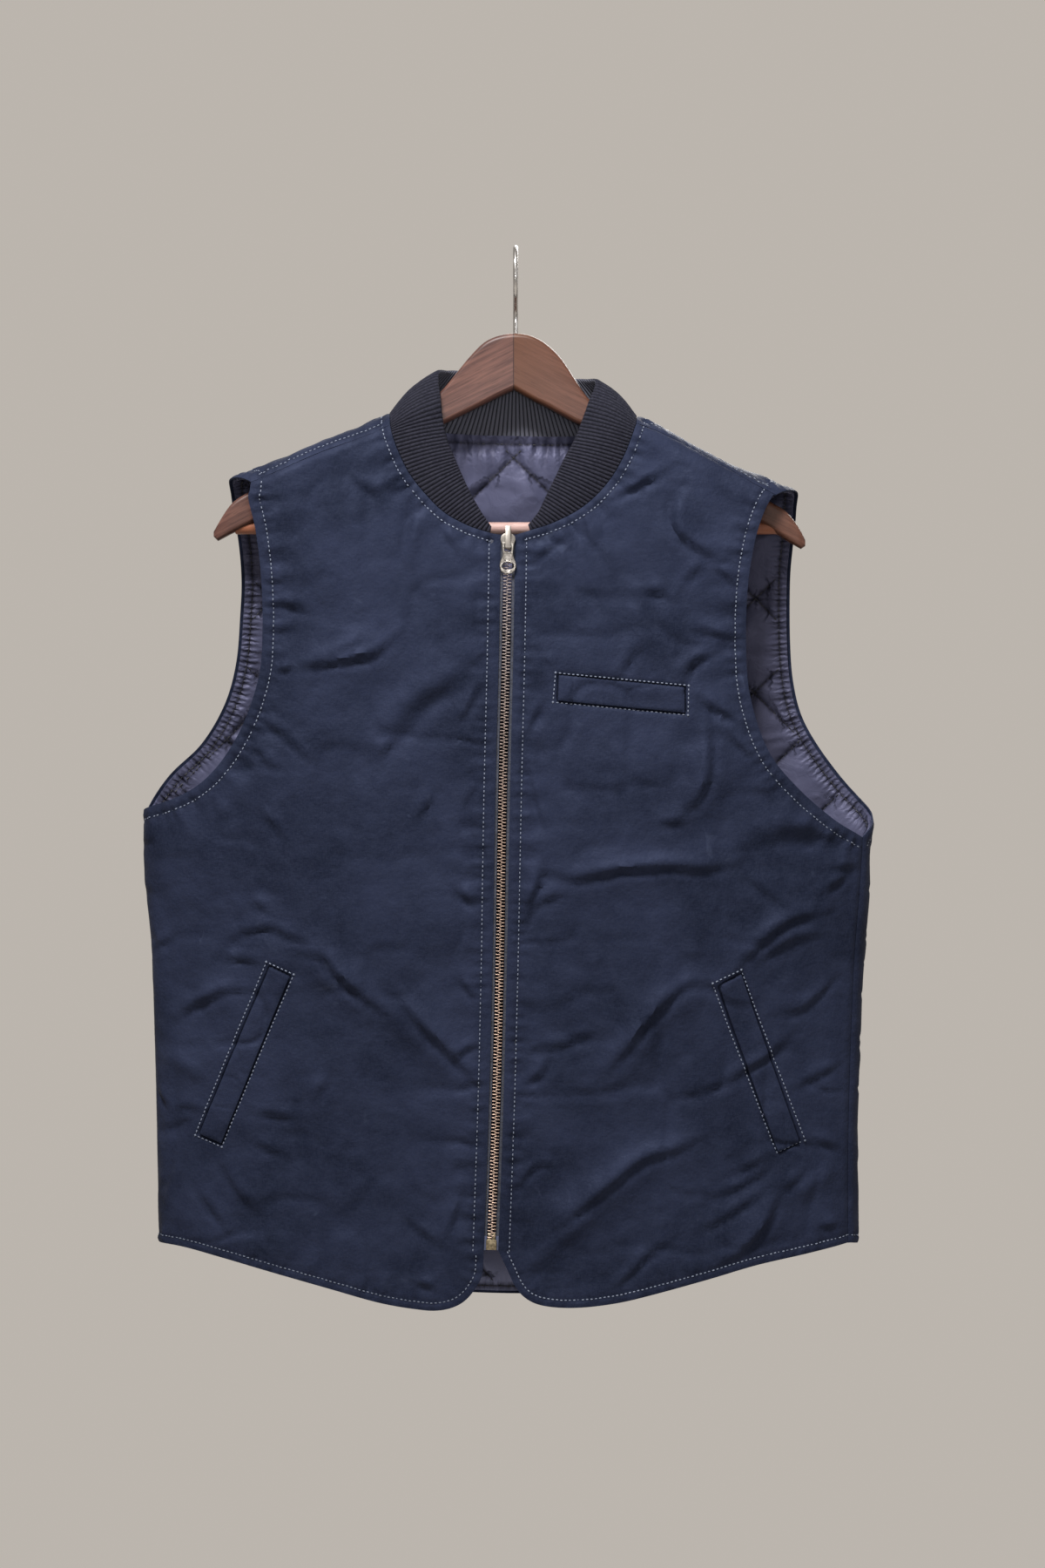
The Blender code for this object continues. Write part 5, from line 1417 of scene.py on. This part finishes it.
def blue_film():
    """The clear film that stiffens the tapes' ends, pale blue over them."""
    look, tree, principled = shader("film_blue", 0.35)
    colour = blended(tree, grain(tree, 3.0), (0.030, 0.038, 0.075), (0.046, 0.057, 0.105))
    tree.links.new(colour, principled.inputs["Base Color"])
    return look


BLUE_FILM = blue_film()
for name, sign in (("right", -1), ("left", 1)):
    offsets = [sign * x for x in FILM_OFFSETS]
    film = strip("zip_film_" + name, offsets, FILM_TOP, FILM_FOOT, FILM_DEPTH, FILM, BLUE_FILM)
    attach(film, "vest")


def tooth_shape():
    """A tooth that reaches from its tape over the middle, as points along, across and out."""
    points = []
    for x, half, front, rear in TOOTH:
        bevel = min(TOOTH_BEVEL, half * 0.6)
        for z, depth in ((-half, front + bevel), (-half + bevel, front), (half - bevel, front),
                         (half, front + bevel), (half, rear - bevel), (half - bevel, rear),
                         (-half + bevel, rear), (-half, rear - bevel)):
            points.append((z, x, -depth))
    faces = [list(range(8)), [len(points) - 8 + n for n in range(8)][::-1]]
    for ring in range(len(TOOTH) - 1):
        for n in range(8):
            a, b = ring * 8 + n, ring * 8 + (n + 1) % 8
            faces.append([a, a + 8, b + 8, b])
    return np.array(points), faces


def split_place(tree):
    """The place on the object in metres, as across, back and up."""
    place = tree.nodes.new("ShaderNodeTexCoord")
    split = tree.nodes.new("ShaderNodeSeparateXYZ")
    tree.links.new(place.outputs["Object"], split.inputs[0])
    return split.outputs


def brass():
    """Worn brass, redder down the chain and dark in small random patches."""
    look, tree, principled = shader("zip_brass", 0.42, 1.0)
    down = spread(tree, split_place(tree)[2], -0.30, -0.46)
    colour = blended(tree, down, (0.44, 0.38, 0.365), (0.43, 0.315, 0.25))
    colour = blended(tree, spread(tree, grain(tree, 1.5), 0.30, 0.55), (0.14, 0.12, 0.105), colour)
    tree.links.new(colour, principled.inputs["Base Color"])
    return look


def brass_teeth():
    """All the teeth: every other one from the left tape, and those between from the right."""
    heights = np.arange(TEETH_TOP, TEETH_FOOT, -TEETH_STEP)
    middle, out = zip_points(heights, 0.0, 0.0), outward(FRONT, *zip_places(heights, 0.0).T)
    up = unit(zip_points(heights + 1, 0.0, 0.0) - zip_points(heights - 1, 0.0, 0.0))
    across = np.cross(out, up)
    across *= np.sign(across[:, :1])
    tooth, faces = tooth_shape()
    points, every = [], []
    for start, sign in ((0, 1), (1, -1)):
        turned = np.stack([up, across, out], 1)[start::2]
        placed = np.einsum("kc,ncd->nkd", tooth * [1, sign, 1], turned) + middle[start::2, None]
        for one in placed:
            every += [[len(points) + corner for corner in face[::sign]] for face in faces]
            points += one.tolist()
    return made_of("zip_teeth", points, every, brass(), 35)


teeth = brass_teeth()
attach(teeth, "vest")
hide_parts("zip_chain")

SLIDER_HEIGHT, PLATE_ROUND = -223.4, 0.35
PLATES = ((-2.2, -0.4), (2.7, 4.2))
SLIDER_OUTLINE = [(-4.1, -5.4), (4.1, -5.4), (4.9, -2.0), (5.7, 1.0), (5.3, 3.4), (3.4, 5.4), (1.4, 5.5),
                  (-1.4, 5.5), (-3.4, 5.4), (-5.3, 3.4), (-5.7, 1.0), (-4.9, -2.0)]
WEDGE_OUTLINE = [(-1.6, -4.6), (1.6, -4.6), (1.6, 4.8), (-1.6, 4.8)]
WEDGE, WEDGE_ROUND, WEDGE_BACK = 5.2, 0.1, 1.0
BAIL_HALF, BAIL_ROUND = 2.1, 0.3
BAIL_OUTLINE = [(-6.5, -5.9), (-5.9, -6.7), (-2.0, -5.6), (-2.0, -4.3), (-5.3, -5.2), (-5.4, 5.6),
                (-4.7, 6.6), (-2.0, 4.4), (-2.0, 7.0), (-3.8, 8.9), (-5.2, 10.7), (-6.1, 10.5), (-6.6, 9.5)]
PULL_AXIS, PULL_THICK, PULL_ROUND, PANEL_THICK, PANEL_ROUND = (-2.6, -4.0), 1.5, 0.42, 0.8, 0.05
PULL_OUTLINE = [(-4.0, 0.95), (-4.5, 0.4), (-4.4, -3.0), (-3.9, -6.6), (-4.3, -10.2), (-5.4, -12.6),
                (-6.1, -15.2), (-6.1, -17.6), (-5.0, -20.6), (-2.8, -22.3), (0, -22.8)]
PULL_SLOT = [(-2.5, -0.75), (-2.5, -5.4), (-1.4, -6.3), (1.4, -6.3), (2.5, -5.4), (2.5, -0.75)]
PULL_PANEL = [(-3.0, -7.3), (3.0, -7.3), (3.4, -11.4), (2.2, -13.0), (-2.2, -13.0), (-3.4, -11.4)]
RING_HALF, RING_UP = (4.4, 2.9), -16.8
BOX_HEIGHT, PIN_ACROSS = -750.9, (-1.75, 1.75)
BOX_OUTLINE = [(-3.9, -3.9), (3.9, -3.9), (3.9, 3.3), (3.1, 3.9), (-3.1, 3.9), (-3.9, 3.3)]
BOX_FACE = [(-2.7, -2.7), (2.7, -2.7), (2.7, 2.4), (-2.7, 2.4)]
PIN_OUTLINE = [(-1.1, 3.4), (1.1, 3.4), (1.1, 8.6), (-1.1, 8.6)]
BOX_PARTS = [
    # outline, how far across, thickness, rounding, how far back
    (BOX_OUTLINE, 0, 2.2, 0.4, -0.1),
    (BOX_FACE, 0, 0.3, 0.1, -1.2),
    *((PIN_OUTLINE, across, 1.8, 0.4, 1.4) for across in PIN_ACROSS),
]


def zip_frame(z):
    """A frame on the zip: X across, Y into the cloth, Z up along the zip; in metres."""
    heights = np.array([z + 3, z - 3, z], float)
    above, below, middle = (Vector(p * MM) for p in zip_points(heights, 0.0, 0.0))
    up = (above - below).normalized()
    right = Vector((1, 0, 0))
    right = (right - up * right.dot(up)).normalized()
    turn = Matrix((right, up.cross(right), up)).transposed().to_4x4()
    return Matrix.Translation(middle) @ turn


def pressed(outline, thick, edge, frame, holes=()):
    """Points and faces of a flat shape with rounded edges, in the frame's XZ plane."""
    flat = bpy.data.curves.new("pressed", "CURVE")
    flat.dimensions, flat.fill_mode = "2D", "BOTH"
    flat.extrude, flat.bevel_depth, flat.bevel_resolution = (thick / 2 - edge) * MM, edge * MM, 2
    flat.offset = -edge * MM
    for points in (outline, *holes):
        spline = flat.splines.new("POLY")
        spline.points.add(len(points) - 1)
        for point, (x, z) in zip(spline.points, points):
            point.co = (x * MM, z * MM, 0, 1)
        spline.use_cyclic_u = True
    drawn = bpy.data.objects.new("pressed", flat)
    mesh = bpy.data.meshes.new_from_object(drawn)
    mesh.transform(frame @ Matrix.Rotation(math.pi / 2, 4, "X"))
    points = [tuple(v.co / MM) for v in mesh.vertices]
    faces = [list(p.vertices) for p in mesh.polygons]
    bpy.data.objects.remove(drawn)
    bpy.data.meshes.remove(mesh)
    return points, faces


def assembled(name, parts, look, sharp=35):
    """One mesh from several shapes, with their doubled points joined."""
    points, faces = [], []
    for more, sides in parts:
        faces += [[len(points) + n for n in face] for face in sides]
        points += more
    made = made_of(name, points, faces, look, sharp)
    built = bmesh.new()
    built.from_mesh(made.data)
    bmesh.ops.remove_doubles(built, verts=built.verts, dist=0.02 * MM)
    bmesh.ops.recalc_face_normals(built, faces=built.faces)
    built.to_mesh(made.data)
    built.free()
    made.data.set_sharp_from_angle(angle=math.radians(sharp))
    return made


def moved(frame, back, across=0.0):
    """A frame moved back and across within itself, in mm."""
    return frame @ Matrix.Translation((across * MM, back * MM, 0))


def ring_hole():
    """The pull tab's oval eye."""
    return [(RING_HALF[0] * math.cos(t), RING_UP + RING_HALF[1] * math.sin(t))
            for t in np.linspace(0, 2 * math.pi, 28, endpoint=False)]


NICKEL = metal("nickel", (0.215, 0.200, 0.182), (0.13, 0.12, 0.11), 0.36, 3.0)
slider_frame = zip_frame(SLIDER_HEIGHT)
parts = []
for front, rear in PLATES:
    plate_frame = moved(slider_frame, (front + rear) / 2)
    parts.append(pressed(SLIDER_OUTLINE, rear - front, PLATE_ROUND, plate_frame))
parts.append(pressed(WEDGE_OUTLINE, WEDGE, WEDGE_ROUND, moved(slider_frame, WEDGE_BACK)))
sideways = slider_frame @ Matrix.Rotation(math.pi / 2, 4, "Z")
parts.append(pressed(BAIL_OUTLINE, 2 * BAIL_HALF, BAIL_ROUND, sideways))
slider = assembled("zip_slider_body", parts, NICKEL)
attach(slider, "vest")
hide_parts("zip_slider")

axis = slider_frame @ Vector((0, PULL_AXIS[1] * MM, PULL_AXIS[0] * MM))
pull_frame = Matrix.Translation(axis)
right_half = smooth(PULL_OUTLINE, 5).tolist()
tab_outline = right_half + [(-x, z) for x, z in right_half[-2::-1]]
holes = [PULL_SLOT[::-1], ring_hole()[::-1], PULL_PANEL]
parts = [
    pressed(tab_outline, PULL_THICK, PULL_ROUND, pull_frame, holes),
    pressed(PULL_PANEL[::-1], PANEL_THICK, PANEL_ROUND, pull_frame),
]
tab = assembled("zip_pull_tab", parts, NICKEL)
tab.data.transform(Matrix.Translation(-axis))
tab.location = axis
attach(tab, "pull")
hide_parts("zip_pull")

OLD_BRASS = metal("old_brass", (0.30, 0.25, 0.17), (0.12, 0.10, 0.065), 0.38, 2.5)
box_frame = zip_frame(BOX_HEIGHT)
parts = [pressed(shape, thick, edge, moved(box_frame, back, across))
         for shape, across, thick, edge, back in BOX_PARTS]
box = assembled("zip_retainer_box", parts, OLD_BRASS)
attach(box, "vest")
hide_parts("zip_box")

# ---- Hanger.
# Two arms of varnished walnut mitred at the middle, a bar for trousers let into both of them, and a
# bent steel wire screwed in at the top for a hook.
WOOD = [
    # across, bottom, top, half thickness
    (-228, -219, -215, 3.0), (-225, -222, -209.5, 5.0), (-216, -217, -195.5, 6.5),
    (-200, -209, -183.5, 7.0), (-185, -201, -170.6, 7.0), (-150, -182.5, -155.7, 7.0),
    (-118, -165.5, -140.6, 7.0), (-96, -154, -129.7, 7.0), (-75, -143, -120, 7.0),
    (-57, -133.5, -108, 7.0), (-46, -128, -95, 7.0), (-35, -122.5, -81.5, 7.0),
    (-24, -117, -70.5, 7.0), (-12, -111, -65, 7.0), (-1, -106, -63.5, 7.0), (12, -113.5, -65.3, 7.0),
    (24, -119.5, -72, 7.0), (35, -125.5, -83, 7.0), (45, -131, -98, 7.0), (54, -135, -111.5, 7.0),
    (75, -147, -123.5, 7.0), (92, -156.5, -131.3, 7.0), (118, -171, -146.3, 7.0), (145, -186, -162.1, 7.0),
    (178, -204.7, -176.8, 7.0), (190, -211.5, -190, 7.0), (206, -222, -201, 6.5), (216, -228, -215, 5.0),
    (219, -226, -221, 3.0),
]
WOOD_CORNER, WOOD_STEP, WOOD_CLEAR, MITRE, ARM_SLOPE = 4.0, 3.0, 0.15, -1.5, 0.47
BAR_BACK, BAR_HEIGHT = -12.4, -212.3
BAR_ENDS = [
    # across, radius
    (-212.0, 4.0), (-211.2, 4.6), (199.2, 4.6), (200.0, 4.0),
]
WIRE_RADIUS, WIRE_TIP, WIRE_STEP, HOOK_INSIDE = 1.8, 0.6, 1.6, 20.0
HOOK_STEM = [
    # forward or back, height
    (0, -63.1), (0, -58), (0, -53), (-2.2, -46.8),
]
HOOK_FROM, HOOK_TO, HOOK_STEP = 238.0, -28.0, 7.0
GRAIN_ALONG, GRAIN_ACROSS, GRAIN_DEEP, GRAIN_APART = 22.0, 420.0, 260.0, 9.0


def walnut(name, light, dark, slope, mitred):
    """Varnished walnut whose grain follows each arm, with a fine dark line where it is mitred; the
    bar has painted shade, a darker orange brown, towards both its ends."""
    look, tree, principled = shader(name, 0.42)
    x, y, z = split_place(tree)
    off = maths(tree, "ABSOLUTE", maths(tree, "SUBTRACT", x, MITRE * MM))
    side = maths(tree, "GREATER_THAN", x, MITRE * MM)
    run, rise = math.cos(slope), math.sin(slope)
    along = maths(tree, "SUBTRACT", maths(tree, "MULTIPLY", off, run), maths(tree, "MULTIPLY", z, rise))
    across = maths(tree, "ADD", maths(tree, "MULTIPLY", off, rise), maths(tree, "MULTIPLY", z, run))
    deep, apart = maths(tree, "MULTIPLY", y, GRAIN_DEEP), maths(tree, "MULTIPLY", side, GRAIN_APART)
    drawn = tree.nodes.new("ShaderNodeCombineXYZ")
    tree.links.new(maths(tree, "MULTIPLY", along, GRAIN_ALONG), drawn.inputs[0])
    tree.links.new(maths(tree, "MULTIPLY", across, GRAIN_ACROSS), drawn.inputs[1])
    tree.links.new(maths(tree, "ADD", deep, apart), drawn.inputs[2])
    rings = tree.nodes.new("ShaderNodeTexNoise")
    rings.inputs["Scale"].default_value = 1.0
    rings.inputs["Detail"].default_value = 6.0
    rings.inputs["Distortion"].default_value = 0.7
    tree.links.new(drawn.outputs[0], rings.inputs["Vector"])
    pores = tree.nodes.new("ShaderNodeTexNoise")
    pores.inputs["Scale"].default_value = 5.0
    tree.links.new(drawn.outputs[0], pores.inputs["Vector"])
    colour = blended(tree, spread(tree, rings.outputs["Fac"], 0.36, 0.66), dark, light)
    if mitred:
        gold = maths(tree, "MULTIPLY", side, spread(tree, off, 0.055, 0.0, 0.35, 0.75))
        colour = blended(tree, gold, colour, (0.058, 0.021, 0.008))
    else:
        # Painted shade: the bar turns darker orange brown towards its ends, which lie in shadow.
        colour = blended(tree, spread(tree, off, 0.09, 0.17), colour, (0.150, 0.055, 0.030))
    dots = spread(tree, pores.outputs["Fac"], 0.60, 0.72, 0.0, 0.55)
    colour = blended(tree, dots, colour, (0.015, 0.006, 0.004))
    if mitred:
        colour = blended(tree, spread(tree, off, 0.0005, 0.0003), colour, (0.020, 0.008, 0.006))
    tree.links.new(colour, principled.inputs["Base Color"])
    principled.inputs["Specular IOR Level"].default_value = 0.2
    bumped(tree, principled, (pores.outputs["Fac"], 0.05))
    return look


def squared_ring(across, y, bottom, top, half, count=28):
    """An upright slice through an arm of the hanger, with its corners rounded over."""
    corner = min(WOOD_CORNER, half * 0.6, (top - bottom) * 0.3)
    ring = []
    for sign_y, sign_z, start in ((1, 1, 0), (-1, 1, 90), (-1, -1, 180), (1, -1, 270)):
        for turn in np.radians(start + np.linspace(0, 90, count // 4)):
            level = top if sign_z > 0 else bottom
            ring.append((across, y + sign_y * (half - corner) + corner * math.cos(turn),
                         level - sign_z * corner + corner * math.sin(turn)))
    return ring


def swept(name, rings, look, sharp):
    """A closed solid through rings that have the same number of points."""
    count = len(rings[0])
    faces = [list(range(count)), [(len(rings) - 1) * count + n for n in range(count)][::-1]]
    for k in range(len(rings) - 1):
        for n in range(count):
            a, b = k * count + n, k * count + (n + 1) % count
            faces.append([a, a + count, b + count, b])
    return made_of(name, [p for ring in rings for p in ring], faces, look, sharp)


WALNUT = walnut("walnut", (0.084, 0.039, 0.030), (0.038, 0.0165, 0.0140), ARM_SLOPE, True)
slices = np.unique(np.concatenate([column(WOOD, 0), np.arange(-222, 216, WOOD_STEP)]))
wood_rings = []
for x in slices:
    bottom, half = (float(np.interp(x, column(WOOD, 0), column(WOOD, n))) for n in (1, 3))
    top = float(rounded(WOOD, 0, 2, x)) - WOOD_CLEAR
    wood_rings.append(squared_ring(x, float(sweep(x, -180.0)), bottom, top, half))
wood = swept("hanger_arms", wood_rings, WALNUT, 50)
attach(wood, "vest")
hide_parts("hanger_wood")

WALNUT_BAR = walnut("walnut_bar", (0.29, 0.195, 0.178), (0.235, 0.150, 0.134), 0.0, False)
bar_rings = []
for x, radius in BAR_ENDS:
    bar_rings.append([(x, BAR_BACK + radius * math.cos(t), BAR_HEIGHT + radius * math.sin(t))
                      for t in np.linspace(0, 2 * math.pi, 40, endpoint=False)])
bar = swept("hanger_trouser_bar", bar_rings, WALNUT_BAR, 50)
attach(bar, "vest")
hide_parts("hanger_bar")

HOOK_STEEL = metal("hook_steel", (0.50, 0.49, 0.48), (0.30, 0.29, 0.28), 0.22, 8.0)
turns = np.radians(np.arange(HOOK_FROM, HOOK_TO - 1, -HOOK_STEP))
reach = HOOK_INSIDE + WIRE_RADIUS
arc = np.stack([reach * np.cos(turns), reach * np.sin(turns) - HOOK_INSIDE], -1)
route = stepped(smooth(np.concatenate([HOOK_STEM, arc])), WIRE_STEP)
wire_rings = []
for n, ((y, z), (dy, dz)) in enumerate(zip(route, unit(np.gradient(route, axis=0)))):
    radius = WIRE_RADIUS * (WIRE_TIP if n == len(route) - 1 else 1.0)
    wire_rings.append([(radius * math.cos(t), y - dz * radius * math.sin(t), z + dy * radius * math.sin(t))
                       for t in np.linspace(0, 2 * math.pi, 20, endpoint=False)])
hook = swept("hanger_hook_wire", wire_rings[::-1], HOOK_STEEL, 60)
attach(hook, "vest")
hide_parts("hanger_hook")
